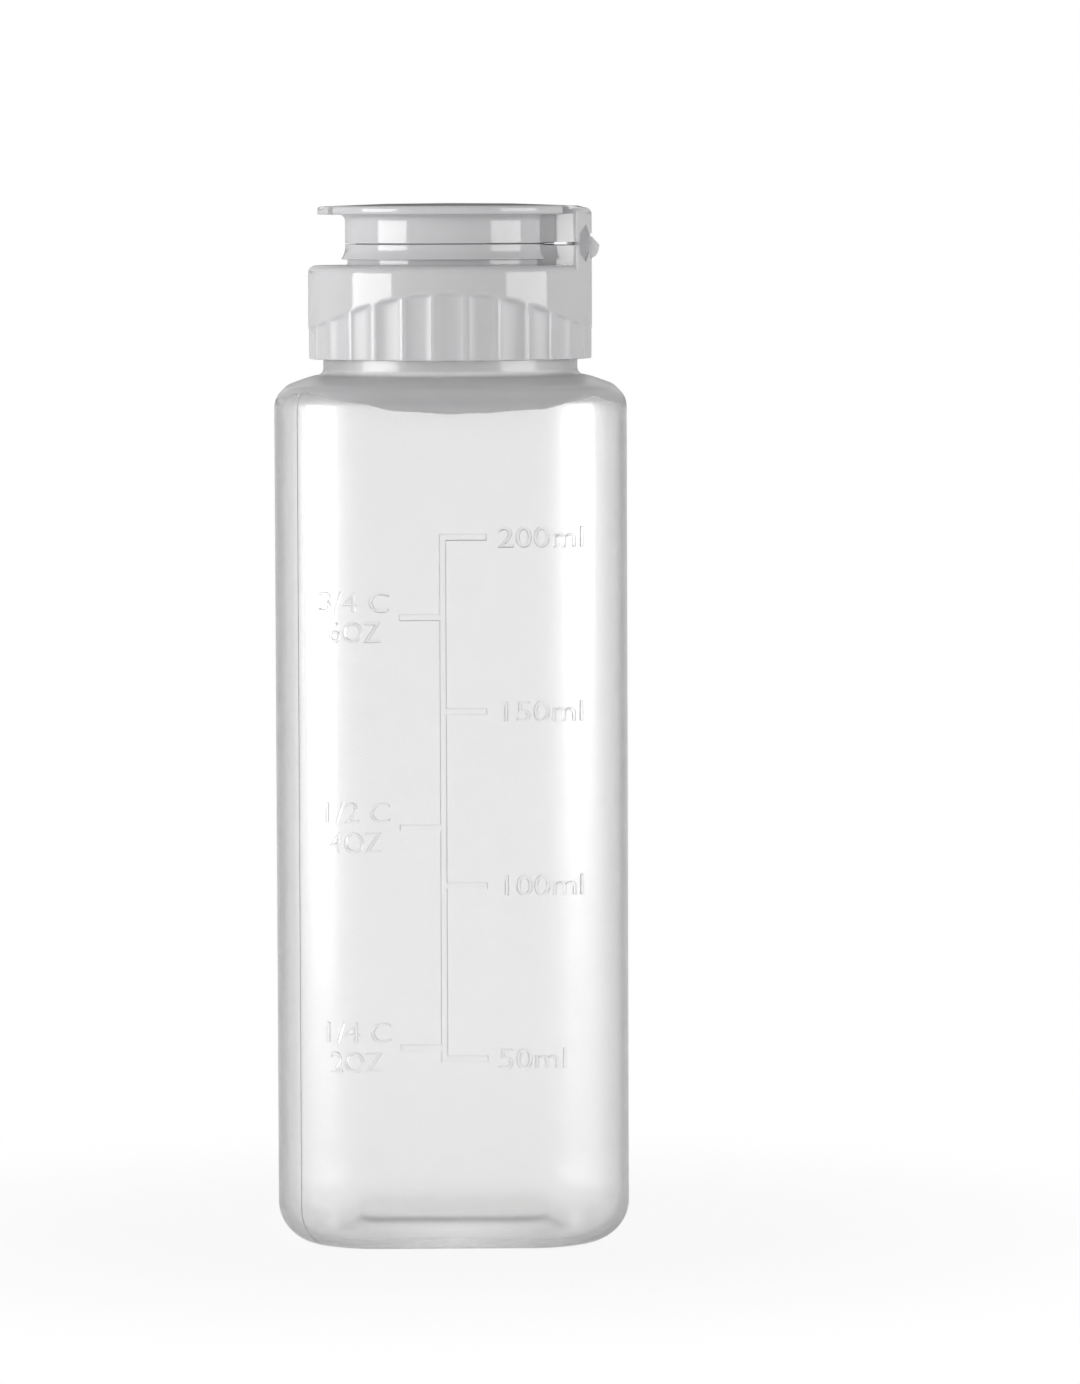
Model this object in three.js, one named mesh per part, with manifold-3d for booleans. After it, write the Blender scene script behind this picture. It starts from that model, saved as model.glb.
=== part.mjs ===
// A square squeeze bottle for sauce with a screw-on flip cap, as an assembly of its separate mouldings.
// Lengths are millimetres, +Z is up, and the origin is the middle of the base. The hinge is on the +X side,
// the thumb lip on the -X side, and the measuring scale on the -Y face.
import * as THREE from "three";
import { mergeVertices } from "three/addons/utils/BufferGeometryUtils.js";
import Module from "manifold-3d";

const wasm = await Module();
wasm.setup();

// Clearances between pieces
const seatGap = 0.1; // between faces that rest on each other
const fitGap = 0.3; // around a piece that slides into another
const overrun = 1; // how far a cutter runs past the face it cuts

// Bottle: a blown shell, square in plan with round corners
const bodyWidth = 47.5;
const cornerRadius = 13.75;
const wall = 0.95;
const baseWall = 1.2;
const baseEdge = 5.6; // radius where the sides turn under into the base
const standingRing = 2.2; // width of the flat ring that the bottle stands on
const pushUp = 2.4; // how far the middle of the base is domed up
const pushUpRun = 3; // width of the slope inside the standing ring
const pushUpFlat = 6; // radius of the nearly flat middle of the dome
const sideHeight = 113.1; // top of the upright sides
const shoulderEdge = 3; // radius where the sides turn into the shoulder
const shoulderTurn = THREE.MathUtils.degToRad(75);
const shoulderRise = 4.1; // from the top of the sides to the root of the neck

// Neck of the bottle
const neckRadius = 17.3;
const neckWall = 1.9;
const neckHeight = 11.1;
const neckFillet = 0.8;
const lipEdge = 0.3;

// Measuring scale, raised on the front face
const scaleBottom = 26.3; // height of the lowest mark
const scaleHeight = 69.8; // from the lowest mark to the highest
const scaleOffset = 1.15; // the long line stands this far to the -X side of the middle
const lineWidth = 0.95;
const markLength = 5.4;
const markRelief = 0.3;
const metricMarks = 4; // one every 50 ml
const cupMarkShares = [0.0215, 0.444, 0.847]; // a quarter, a half and three quarters of a cup

// Pouring insert: a plug in the mouth of the bottle with a nozzle in its middle
const insertThickness = 1;
const plugDepth = 5;
const plugWall = 1;
const flangeInset = 0.4; // how far the flange stays inside the neck's outer edge
const nozzleBaseRadius = 5.6;
const nozzleTipRadius = 3.5;
const nozzleTipEdge = 0.4;
const nozzleHeight = 6.6; // above the insert's flange
const boreRadius = 2.4;
const funnelRadius = 4.4; // the bore widens to this at the underside
const funnelDepth = 3;

// Gasket ring between the insert and the deck of the cap
const gasketThickness = 1.1;
const gasketWidth = 3.2;
const gasketInset = 0.4;

// Screw cap
const threadRoom = 0.9; // radial room for the threads between neck and cap
const capWall = 1.1;
const deckThickness = 1.4;
const ringHeight = 12.7;
const capEdge = 1.2; // radius of the ring's top edge
const mouthChamfer = 0.4;
const deckHoleRadius = 7;
const collarHeight = 2.85;
const collarInset = 5.05; // from the ring's outside to the collar's outside
const collarWall = 1.2;
const beadReach = 0.55; // how far the bead round the collar stands out
const beadFlare = 1.25; // height over which the collar widens to its bead
const grooveHeight = 0.8; // height of the groove between the bead and the deck
const grooveDepth = 0.3; // how far the groove is cut in behind the collar's wall

// Grip flutes round the ring, which end at an arch that is low at the hinge and at the thumb lip
const flutes = 28;
const fluteDepth = 0.3;
const landWidth = 0.8;
const fluteLow = 3.95;
const fluteArch = 5;
const fluteRunout = 0.35;

// Flip lid
const lidHeight = 5.5; // from the parting plane to the top of the crown
const crownRise = 0.4;
const lidTopWall = 1.25;
const skirtWall = 1.2;
const flangeOverhang = 3.15; // how far the flange stands out from the skirt
const flangeThickness = 1.15;
const flangeEdge = 0.4;
const skirtCove = 0.9;
const tongueDepth = 1.1; // the lid's tongue reaches this far into the collar
const tongueWall = 0.75;
const tongueRoot = 0.9;
const thumbReach = 0.6; // how far the thumb lip stands out from the flange
const thumbHalfWidth = 7.3;
const notchInset = 4.1; // the flange stops this far inside the ring's wall, and leaves a notch
const rimDrop = 0.25; // how far the top falls from the rim to the outside of the hinge

// Stopper under the lid, in a socket ring
const stopperHeadRadius = 3;
const pinRadius = 2.1;
const pinDepth = 1.8; // how far the pin reaches into the nozzle
const pinEdge = 0.5;
const socketWall = 1;
const socketDepth = 2;

// Hinge at the back: a block on the cap, a block on the lid, and the film pieces that join them
const hingeSlit = 0.38;
const hingeWaist = 7.45; // half width of the blocks at the collar
const hingeHalfWidth = 8.95; // half width of the blocks at the outside
const flareInset = 4.95; // the blocks widen from this far inside the ring's wall outwards
const blockEdge = 0.95;
const wingInner = 3.8; // the wings lie between these distances from the middle
const wingOuter = 8.1;
const wingInnerHalfHeight = 1.1;
const wingOuterHalfHeight = 2.5;
const wingInnerSink = 0.1; // how deep the flat wing lies under the round wall, at its inner end
const wingOuterSink = 0.45; // and at its outer end
const wingThickness = 0.35;
const strapHalfWidth = 3;
const strapReach = 0.9; // how far the folded strap stands out from the wall
const strapSeat = 0.6; // depth of the recess that the strap lies in
const strapRise = 1.05; // top and foot of the fold, above and below the parting plane
const strapDrop = 2;
const strapTipDrop = 0.15; // how far the tip of the fold lies below the parting plane
const strapHeel = 0.5; // height of the foot's curve

// How finely round shapes are cut into facets
const flatSteps = 3;
const cornerSteps = 8;
const arcSteps = 4;
const turnSteps = 52;
const fluteSteps = 5;

// Radii and levels that follow from the sizes above
const bodyHalf = bodyWidth / 2;
const neckBore = neckRadius - neckWall;
const capInner = neckRadius + threadRoom;
const capRadius = capInner + capWall;
const collarRadius = capRadius - collarInset;
const collarInner = collarRadius - collarWall;
const flangeRadius = collarRadius + flangeOverhang;
const skirtInner = collarRadius - skirtWall;
const tongueRadius = collarInner - fitGap;
const neckRoot = sideHeight + shoulderRise;
const lipTop = neckRoot + neckHeight;
const insertUnder = lipTop + seatGap;
const insertTop = insertUnder + insertThickness;
const gasketUnder = insertTop + seatGap;
const gasketTop = gasketUnder + gasketThickness;
const deckUnder = gasketTop + seatGap;
const deckTop = deckUnder + deckThickness;
const ringBottom = deckTop - ringHeight;
const collarTop = deckTop + collarHeight;
const skirtBottom = collarTop + seatGap;
const parting = collarTop + seatGap / 2;
const lidTop = parting + lidHeight;
const rimTop = lidTop - crownRise;
const flangeUnder = rimTop - flangeThickness;
const ceiling = lidTop - lidTopWall;
const nozzleTop = insertTop + nozzleHeight;
const flangeEnd = capRadius - notchInset;
const flareStart = capRadius - flareInset;

// A solid of a closed geometry, for joining and cutting.
function solid(geometry) {
  const bare = new THREE.BufferGeometry();
  bare.setAttribute("position", geometry.getAttribute("position"));
  bare.setIndex(geometry.getIndex());
  const merged = mergeVertices(bare, 1e-4);
  return new wasm.Manifold(
    new wasm.Mesh({
      numProp: 3,
      vertProperties: merged.attributes.position.array,
      triVerts: new Uint32Array(merged.index.array),
    }),
  );
}

// A named mesh of a solid.
function piece(name, body, material) {
  const made = body.getMesh();
  const geometry = new THREE.BufferGeometry();
  geometry.setAttribute("position", new THREE.BufferAttribute(made.vertProperties, 3));
  geometry.setIndex(new THREE.BufferAttribute(made.triVerts, 1));
  geometry.computeVertexNormals();
  const mesh = new THREE.Mesh(geometry, material);
  mesh.name = name;
  return mesh;
}

// A skin through rows of points, each row one ring seen from below to above, or one point on the axis.
function loft(rows) {
  const places = rows.flat();
  const faces = [];
  let start = 0;
  for (let i = 0; i + 1 < rows.length; i++) {
    const here = rows[i].length;
    const next = rows[i + 1].length;
    const count = Math.max(here, next);
    for (let k = 0; k < count; k++) {
      const a = start + (k % here);
      const b = start + ((k + 1) % here);
      const c = start + here + (k % next);
      const d = start + here + ((k + 1) % next);
      if (here > 1) faces.push(a, b, c);
      if (next > 1) faces.push(c, here > 1 ? b : a, d);
    }
    start += here;
  }
  const geometry = new THREE.BufferGeometry();
  geometry.setFromPoints(places);
  geometry.setIndex(faces);
  return solid(geometry);
}

// A solid of revolution about Z. The outline lies in radius and height and is drawn with the body on its left.
function turned(outline, steps = turnSteps) {
  const geometry = new THREE.LatheGeometry(outline.getPoints(arcSteps / 2), steps);
  return solid(geometry.rotateX(Math.PI / 2));
}

// A plan outline extruded upwards from one level to another.
function upright(shape, low, high) {
  const geometry = new THREE.ExtrudeGeometry(shape, {
    depth: high - low,
    bevelEnabled: false,
    curveSegments: arcSteps * 2,
  });
  return solid(geometry.translate(0, 0, low));
}

// An outline of y and z extruded along X from one place to another.
function along(shape, from, to) {
  const geometry = new THREE.ExtrudeGeometry(shape, { depth: to - from, bevelEnabled: false });
  const turn = new THREE.Matrix4().set(0, 0, 1, from, 1, 0, 0, 0, 0, 1, 0, 0, 0, 0, 0, 1);
  return solid(geometry.applyMatrix4(turn));
}

// An outline of x and z extruded along Y, centred on the middle plane.
function across(shape, halfWidth) {
  const geometry = new THREE.ExtrudeGeometry(shape, {
    depth: 2 * halfWidth,
    bevelEnabled: false,
    curveSegments: arcSteps * 2,
  });
  return solid(geometry.rotateX(Math.PI / 2).translate(0, halfWidth, 0));
}

// A block given by its two corners.
function block(low, high) {
  const size = new THREE.Vector3().subVectors(high, low);
  const middle = new THREE.Vector3().addVectors(low, high).multiplyScalar(1 / 2);
  const geometry = new THREE.BoxGeometry(size.x, size.y, size.z);
  return solid(geometry.translate(middle.x, middle.y, middle.z));
}

// A plain cylinder on the Z axis.
function drum(radius, low, high) {
  const outline = new THREE.Path();
  outline.moveTo(0, low);
  outline.lineTo(radius, low);
  outline.lineTo(radius, high);
  outline.lineTo(0, high);
  return turned(outline);
}

// Distance from the axis to the edge of a square with round corners, in one direction.
function planRadius(angle, half, corner) {
  const quarter = Math.PI / 2;
  const turn = ((angle % quarter) + quarter) % quarter;
  const fold = Math.min(turn, quarter - turn);
  const flat = half - corner;
  if (half * Math.tan(fold) <= flat) return half / Math.cos(fold);
  const reach = flat * (Math.cos(fold) + Math.sin(fold));
  return reach + Math.sqrt(corner ** 2 - flat ** 2 * (1 - Math.sin(2 * fold)));
}

// Directions in which the bottle's rings have points: few on the flats and more round the corners.
function planAngles() {
  const quarter = Math.PI / 2;
  const flatAngle = Math.atan2(bodyHalf - cornerRadius, bodyHalf);
  const angles = [];
  for (let side = 0; side < 4; side++) {
    for (let i = 0; i < 2 * flatSteps; i++) {
      angles.push(side * quarter - flatAngle + (flatAngle * i) / flatSteps);
    }
    for (let i = 0; i < cornerSteps; i++) {
      angles.push(side * quarter + flatAngle + ((quarter - 2 * flatAngle) * i) / cornerSteps);
    }
  }
  return angles;
}

// One ring of the bottle: a square with round corners, or a circle where its corner is its half width.
const angles = planAngles();
function ring(half, corner, z) {
  return angles.map((angle) => {
    const radius = planRadius(angle, half, corner);
    return new THREE.Vector3(radius * Math.cos(angle), radius * Math.sin(angle), z);
  });
}

// The body's own section, drawn in from its sides.
function inset(amount, z) {
  return ring(bodyHalf - amount, cornerRadius - amount, z);
}

// One skin of the bottle, from the middle of the base up to the root of the neck. The outer skin has no
// thickness, and the inner one lies in from it by the side wall, the base wall and the neck wall.
function bottleSkin(side, floor, throat) {
  const slopeShare = 0.7;
  const domeShare = 0.98;
  const rows = [[new THREE.Vector3(0, 0, pushUp + floor)]];
  rows.push(ring(pushUpFlat, pushUpFlat, pushUp * domeShare + floor));
  rows.push(inset(baseEdge + standingRing + pushUpRun, pushUp * slopeShare + floor));
  rows.push(inset(baseEdge + standingRing, floor));
  const turnUnder = baseEdge - side;
  for (let i = 0; i <= arcSteps; i++) {
    const turn = (Math.PI / 2) * (1 - i / arcSteps);
    rows.push(inset(baseEdge - turnUnder * Math.cos(turn), floor + turnUnder * (1 - Math.sin(turn))));
  }
  const turnIn = shoulderEdge - side;
  const drawnIn = (turn) => shoulderEdge - turnIn * Math.cos(turn);
  for (let i = 0; i <= arcSteps; i++) {
    const turn = (shoulderTurn * i) / arcSteps;
    rows.push(inset(drawnIn(turn), sideHeight + turnIn * Math.sin(turn)));
  }
  const edgeHalf = bodyHalf - drawnIn(shoulderTurn);
  const edgeCorner = cornerRadius - drawnIn(shoulderTurn);
  const edgeZ = sideHeight + turnIn * Math.sin(shoulderTurn);
  const rootRadius = neckRadius - throat + (throat ? 0 : neckFillet);
  const rootZ = neckRoot - (throat ? side : 0);
  for (const share of [1 / 3, 2 / 3, 1]) {
    rows.push(
      ring(
        THREE.MathUtils.lerp(edgeHalf, rootRadius, share),
        THREE.MathUtils.lerp(edgeCorner, rootRadius, share),
        THREE.MathUtils.lerp(edgeZ, rootZ, share),
      ),
    );
  }
  return rows;
}

// One raised bar of the measuring scale, by its ends along X and Z.
function scaleBar(left, right, low, high) {
  return block(
    new THREE.Vector3(left, -bodyHalf - markRelief, low),
    new THREE.Vector3(right, -bodyHalf + wall / 2, high),
  );
}

function measuringScale() {
  const half = lineWidth / 2;
  const line = -scaleOffset;
  let bars = scaleBar(line - half, line + half, scaleBottom - half, scaleBottom + scaleHeight + half);
  for (let i = 0; i < metricMarks; i++) {
    const z = scaleBottom + (scaleHeight * i) / (metricMarks - 1);
    bars = bars.add(scaleBar(line - half, line + half + markLength, z - half, z + half));
  }
  for (const share of cupMarkShares) {
    const z = scaleBottom + scaleHeight * share;
    bars = bars.add(scaleBar(line - half - markLength, line + half, z - half, z + half));
  }
  return bars;
}

function bottleBody() {
  const circle = (radius, z) => ring(radius, radius, z);
  const outside = bottleSkin(0, 0, 0);
  outside.push(circle(neckRadius, neckRoot + neckFillet));
  outside.push(circle(neckRadius, lipTop - lipEdge));
  outside.push(circle(neckRadius - lipEdge, lipTop));
  const inside = bottleSkin(wall, baseWall, neckWall);
  inside.push(circle(neckBore, lipTop - lipEdge));
  inside.push(circle(neckBore + lipEdge, lipTop));
  return loft([...outside, ...inside.reverse()]).add(measuringScale());
}

function pourInsert() {
  const plugRadius = neckBore - fitGap;
  const plugBottom = insertUnder - plugDepth;
  const outline = new THREE.Path();
  outline.moveTo(boreRadius, insertUnder + funnelDepth);
  outline.lineTo(funnelRadius, insertUnder);
  outline.lineTo(plugRadius - plugWall, insertUnder);
  outline.lineTo(plugRadius - plugWall, plugBottom);
  outline.lineTo(plugRadius - lipEdge, plugBottom);
  outline.lineTo(plugRadius, plugBottom + lipEdge);
  outline.lineTo(plugRadius, insertUnder);
  outline.lineTo(neckRadius - flangeInset, insertUnder);
  outline.lineTo(neckRadius - flangeInset, insertTop);
  outline.lineTo(nozzleBaseRadius, insertTop);
  outline.lineTo(nozzleTipRadius, nozzleTop - nozzleTipEdge);
  outline.absarc(
    nozzleTipRadius - nozzleTipEdge,
    nozzleTop - nozzleTipEdge,
    nozzleTipEdge,
    0,
    Math.PI / 2,
  );
  outline.lineTo(boreRadius, nozzleTop);
  outline.closePath();
  return turned(outline);
}

function neckGasket() {
  const outer = capInner - gasketInset;
  const outline = new THREE.Path();
  outline.moveTo(outer - gasketWidth, gasketUnder);
  outline.lineTo(outer, gasketUnder);
  outline.lineTo(outer, gasketTop);
  outline.lineTo(outer - gasketWidth, gasketTop);
  outline.closePath();
  return turned(outline);
}

// The ring of the cap, still solid, with flutes that end at the arch.
function flutedRing() {
  const pitch = (2 * Math.PI) / flutes;
  const landAngle = landWidth / capRadius;
  const turns = [];
  for (let i = 0; i < flutes; i++) {
    const middle = i * pitch - Math.PI / 2;
    for (let k = 0; k < fluteSteps; k++) {
      const share = (2 * k) / (fluteSteps - 1) - 1;
      turns.push({ angle: middle + (share * (pitch - landAngle)) / 2, cut: fluteDepth * (1 - share ** 2) });
    }
  }
  const row = (radius, level) =>
    turns.map(({ angle, cut }) => {
      const reach = radius(cut);
      return new THREE.Vector3(reach * Math.cos(angle), reach * Math.sin(angle), level(angle));
    });
  const arch = (angle) => ringBottom + fluteLow + fluteArch * Math.sin(angle) ** 2;
  const rows = [
    [new THREE.Vector3(0, 0, ringBottom)],
    row((cut) => capRadius - cut - lipEdge, () => ringBottom),
    row((cut) => capRadius - cut, () => ringBottom + lipEdge),
    row((cut) => capRadius - cut, (angle) => arch(angle) - fluteRunout),
    row(() => capRadius, arch),
  ];
  for (let i = 0; i <= arcSteps; i++) {
    const turn = (Math.PI / 2) * (i / arcSteps);
    const reach = capRadius - capEdge * (1 - Math.cos(turn));
    rows.push(row(() => reach, () => deckTop - capEdge * (1 - Math.sin(turn))));
  }
  rows.push([new THREE.Vector3(0, 0, deckTop)]);
  return loft(rows);
}

// Plan of both hinge blocks: they leave the collar at its waist and flare out to the wall of the ring.
function hingePlan() {
  const start = Math.sqrt(collarInner ** 2 - hingeWaist ** 2);
  const end = Math.sqrt(capRadius ** 2 - hingeHalfWidth ** 2);
  const plan = new THREE.Shape();
  plan.moveTo(start, -hingeWaist);
  plan.lineTo(flareStart, -hingeWaist);
  plan.lineTo(end, -hingeHalfWidth);
  plan.lineTo(capRadius + overrun, -hingeHalfWidth);
  plan.lineTo(capRadius + overrun, hingeHalfWidth);
  plan.lineTo(end, hingeHalfWidth);
  plan.lineTo(flareStart, hingeWaist);
  plan.lineTo(start, hingeWaist);
  plan.closePath();
  return plan;
}

// The wing's outline seen from behind, drawn in by a clearance, for one side.
function wingOutline(side, clearance) {
  const near = wingInner + clearance;
  const far = wingOuter - clearance;
  const nearHalf = wingInnerHalfHeight - clearance;
  const farHalf = wingOuterHalfHeight - clearance;
  const outline = new THREE.Shape();
  outline.moveTo(side * near, parting - nearHalf);
  outline.lineTo(side * far, parting - farHalf);
  outline.lineTo(side * far, parting + farHalf);
  outline.lineTo(side * near, parting + nearHalf);
  outline.closePath();
  return outline;
}

// Plan of a slab along one flat wing, from one depth behind the wing's outer face to one height in front.
function slabPlan(side, behind, front) {
  const sunk = (y, sink) => new THREE.Vector2(Math.sqrt(capRadius ** 2 - y ** 2) - sink, side * y);
  const near = sunk(wingInner, wingInnerSink);
  const far = sunk(wingOuter, wingOuterSink);
  const run = new THREE.Vector2().subVectors(far, near).setLength(overrun);
  const out = new THREE.Vector2(run.y, -run.x).multiplyScalar(side / overrun);
  near.sub(run);
  far.add(run);
  const corners = [
    near.clone().addScaledVector(out, -behind),
    far.clone().addScaledVector(out, -behind),
    far.clone().addScaledVector(out, front),
    near.clone().addScaledVector(out, front),
  ];
  return new THREE.Shape(corners);
}

// What is cut from the outside of both blocks: the pockets of the two wings and the recess of the strap.
function hingeRecesses() {
  const pocket = (side) =>
    along(wingOutline(side, 0), collarRadius, capRadius + overrun).intersect(
      upright(slabPlan(side, wingThickness + fitGap, capRadius), deckTop, lidTop),
    );
  const seat = block(
    new THREE.Vector3(capRadius - strapSeat, -strapHalfWidth - fitGap, parting - strapDrop - fitGap),
    new THREE.Vector3(capRadius + overrun, strapHalfWidth + fitGap, parting + strapRise + fitGap),
  );
  return pocket(-1).add(pocket(1)).add(seat);
}

function screwCap() {
  const collar = new THREE.Path();
  const bead = deckTop + grooveHeight;
  collar.moveTo(0, deckUnder);
  collar.lineTo(collarRadius - grooveDepth, deckUnder);
  collar.lineTo(collarRadius - grooveDepth, bead);
  collar.lineTo(collarRadius + beadReach, bead);
  collar.quadraticCurveTo(collarRadius, bead + beadFlare / 2, collarRadius, bead + beadFlare);
  collar.lineTo(collarRadius, collarTop);
  collar.lineTo(0, collarTop);

  const tower = upright(hingePlan(), deckTop - capEdge, parting - hingeSlit / 2)
    .intersect(drum(capRadius, deckUnder, lidTop))
    .subtract(hingeRecesses());

  const hollow = new THREE.Path();
  hollow.moveTo(0, ringBottom - overrun);
  hollow.lineTo(capInner + mouthChamfer, ringBottom - overrun);
  hollow.lineTo(capInner + mouthChamfer, ringBottom);
  hollow.lineTo(capInner, ringBottom + mouthChamfer);
  hollow.lineTo(capInner, deckUnder);
  hollow.lineTo(deckHoleRadius, deckUnder);
  hollow.lineTo(deckHoleRadius, deckTop);
  hollow.lineTo(collarInner, deckTop);
  hollow.lineTo(collarInner, collarTop + overrun);
  hollow.lineTo(0, collarTop + overrun);

  return flutedRing().add(turned(collar)).add(tower).subtract(turned(hollow));
}

function flipLid() {
  const socketInner = stopperHeadRadius + fitGap;
  const outline = new THREE.Path();
  outline.moveTo(0, ceiling);
  outline.lineTo(socketInner, ceiling);
  outline.lineTo(socketInner, ceiling - socketDepth);
  outline.lineTo(socketInner + socketWall, ceiling - socketDepth);
  outline.lineTo(socketInner + socketWall, ceiling);
  outline.lineTo(skirtInner, ceiling);
  outline.lineTo(skirtInner, skirtBottom + 2 * tongueRoot);
  outline.lineTo(tongueRadius - tongueWall, skirtBottom + tongueRoot);
  outline.lineTo(tongueRadius - tongueWall, skirtBottom - tongueDepth);
  outline.lineTo(tongueRadius - lipEdge, skirtBottom - tongueDepth);
  outline.lineTo(tongueRadius, skirtBottom - tongueDepth + lipEdge);
  outline.lineTo(tongueRadius, skirtBottom);
  outline.lineTo(collarRadius, skirtBottom);
  outline.lineTo(collarRadius, flangeUnder - skirtCove);
  outline.absarc(collarRadius + skirtCove, flangeUnder - skirtCove, skirtCove, Math.PI, Math.PI / 2, true);
  outline.absarc(flangeRadius - flangeEdge, flangeUnder + flangeEdge, flangeEdge, -Math.PI / 2, 0);
  outline.absarc(flangeRadius - flangeEdge, rimTop - flangeEdge, flangeEdge, 0, Math.PI / 2);
  outline.quadraticCurveTo(flangeRadius / 2, lidTop, 0, lidTop);

  const lip = new THREE.Path();
  const lipRadius = flangeRadius + thumbReach;
  lip.moveTo(0, flangeUnder + seatGap);
  lip.lineTo(lipRadius - flangeEdge, flangeUnder + seatGap);
  lip.absarc(lipRadius - flangeEdge, flangeUnder + seatGap + flangeEdge, flangeEdge, -Math.PI / 2, 0);
  lip.absarc(lipRadius - flangeEdge, rimTop - seatGap - flangeEdge, flangeEdge, 0, Math.PI / 2);
  lip.lineTo(0, rimTop - seatGap);
  const thumb = turned(lip).intersect(
    block(
      new THREE.Vector3(-lipRadius - overrun, -thumbHalfWidth, flangeUnder),
      new THREE.Vector3(-collarRadius, thumbHalfWidth, rimTop),
    ),
  );

  const notch = (side) =>
    block(
      new THREE.Vector3(flangeEnd, Math.min(side * hingeWaist, side * capRadius), flangeUnder),
      new THREE.Vector3(capRadius, Math.max(side * hingeWaist, side * capRadius), lidTop),
    );

  const envelope = new THREE.Path();
  envelope.moveTo(0, parting);
  envelope.lineTo(capRadius, parting);
  envelope.absarc(capRadius - blockEdge, rimTop - rimDrop - blockEdge, blockEdge, 0, Math.PI / 2);
  envelope.lineTo(flangeEnd, rimTop);
  envelope.lineTo(0, rimTop);
  const rear = upright(hingePlan(), parting + hingeSlit / 2, lidTop)
    .intersect(turned(envelope))
    .subtract(hingeRecesses())
    .subtract(drum(skirtInner + skirtWall / 2, deckTop, ceiling));

  return turned(outline).add(thumb).subtract(notch(-1)).subtract(notch(1)).add(rear);
}

function lidPlug() {
  const shoulder = nozzleTop + fitGap;
  const outline = new THREE.Path();
  outline.moveTo(0, nozzleTop - pinDepth);
  outline.lineTo(pinRadius - pinEdge, nozzleTop - pinDepth);
  outline.lineTo(pinRadius, nozzleTop - pinDepth + pinEdge);
  outline.lineTo(pinRadius, shoulder);
  outline.lineTo(stopperHeadRadius, shoulder);
  outline.lineTo(stopperHeadRadius, ceiling - seatGap);
  outline.lineTo(0, ceiling - seatGap);
  return turned(outline, turnSteps / 2);
}

// A thin flat wing in its pocket, which is pulled taut as the lid swings over.
function hingeWing(side) {
  const slab = upright(slabPlan(side, wingThickness, 0), deckTop, lidTop);
  return along(wingOutline(side, fitGap), collarRadius, capRadius + overrun).intersect(slab);
}

// The strap in the middle, folded outwards and pressed together while the lid is shut.
function hingeStrap() {
  const back = capRadius - strapSeat + fitGap;
  const tip = capRadius + strapReach;
  const fold = new THREE.Shape();
  fold.moveTo(back, parting - strapDrop);
  fold.lineTo(capRadius, parting - strapDrop);
  fold.quadraticCurveTo(tip, parting - strapDrop + strapHeel, tip, parting - strapTipDrop);
  fold.lineTo(back, parting + strapRise);
  fold.closePath();
  return across(fold, strapHalfWidth);
}

const frosted = new THREE.MeshStandardMaterial({
  color: 0xe6e9ea,
  roughness: 0.4,
  metalness: 0,
  transparent: true,
  opacity: 0.6,
});
const whitePlastic = new THREE.MeshStandardMaterial({ color: 0xeeeeef, roughness: 0.25, metalness: 0 });
const filmPlastic = new THREE.MeshStandardMaterial({ color: 0xe2e3e4, roughness: 0.35, metalness: 0 });
const insertPlastic = new THREE.MeshStandardMaterial({ color: 0xf2f2f0, roughness: 0.4, metalness: 0 });
const softPlastic = new THREE.MeshStandardMaterial({ color: 0xdedfdc, roughness: 0.6, metalness: 0 });

const bottle = new THREE.Group();
bottle.add(piece("bottle_body", bottleBody(), frosted));
bottle.add(piece("pour_insert", pourInsert(), insertPlastic));
bottle.add(piece("neck_gasket", neckGasket(), softPlastic));
bottle.add(piece("screw_cap", screwCap(), whitePlastic));
bottle.add(piece("flip_lid", flipLid(), whitePlastic));
bottle.add(piece("lid_plug", lidPlug(), softPlastic));
bottle.add(piece("hinge_wing_left", hingeWing(-1), filmPlastic));
bottle.add(piece("hinge_wing_right", hingeWing(1), filmPlastic));
bottle.add(piece("hinge_centre_strap", hingeStrap(), filmPlastic));

export default bottle;
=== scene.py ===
# %% [markdown]
# # A sauce bottle with a flip cap
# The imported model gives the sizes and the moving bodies. This lesson dresses it: each moulding of the
# real bottle is modelled again as a fine mesh in the same place, in the finish of its plastic.

# %% The frame
import math

import bmesh
import bpy
import numpy as np
from mathutils import Matrix, Vector


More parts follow.
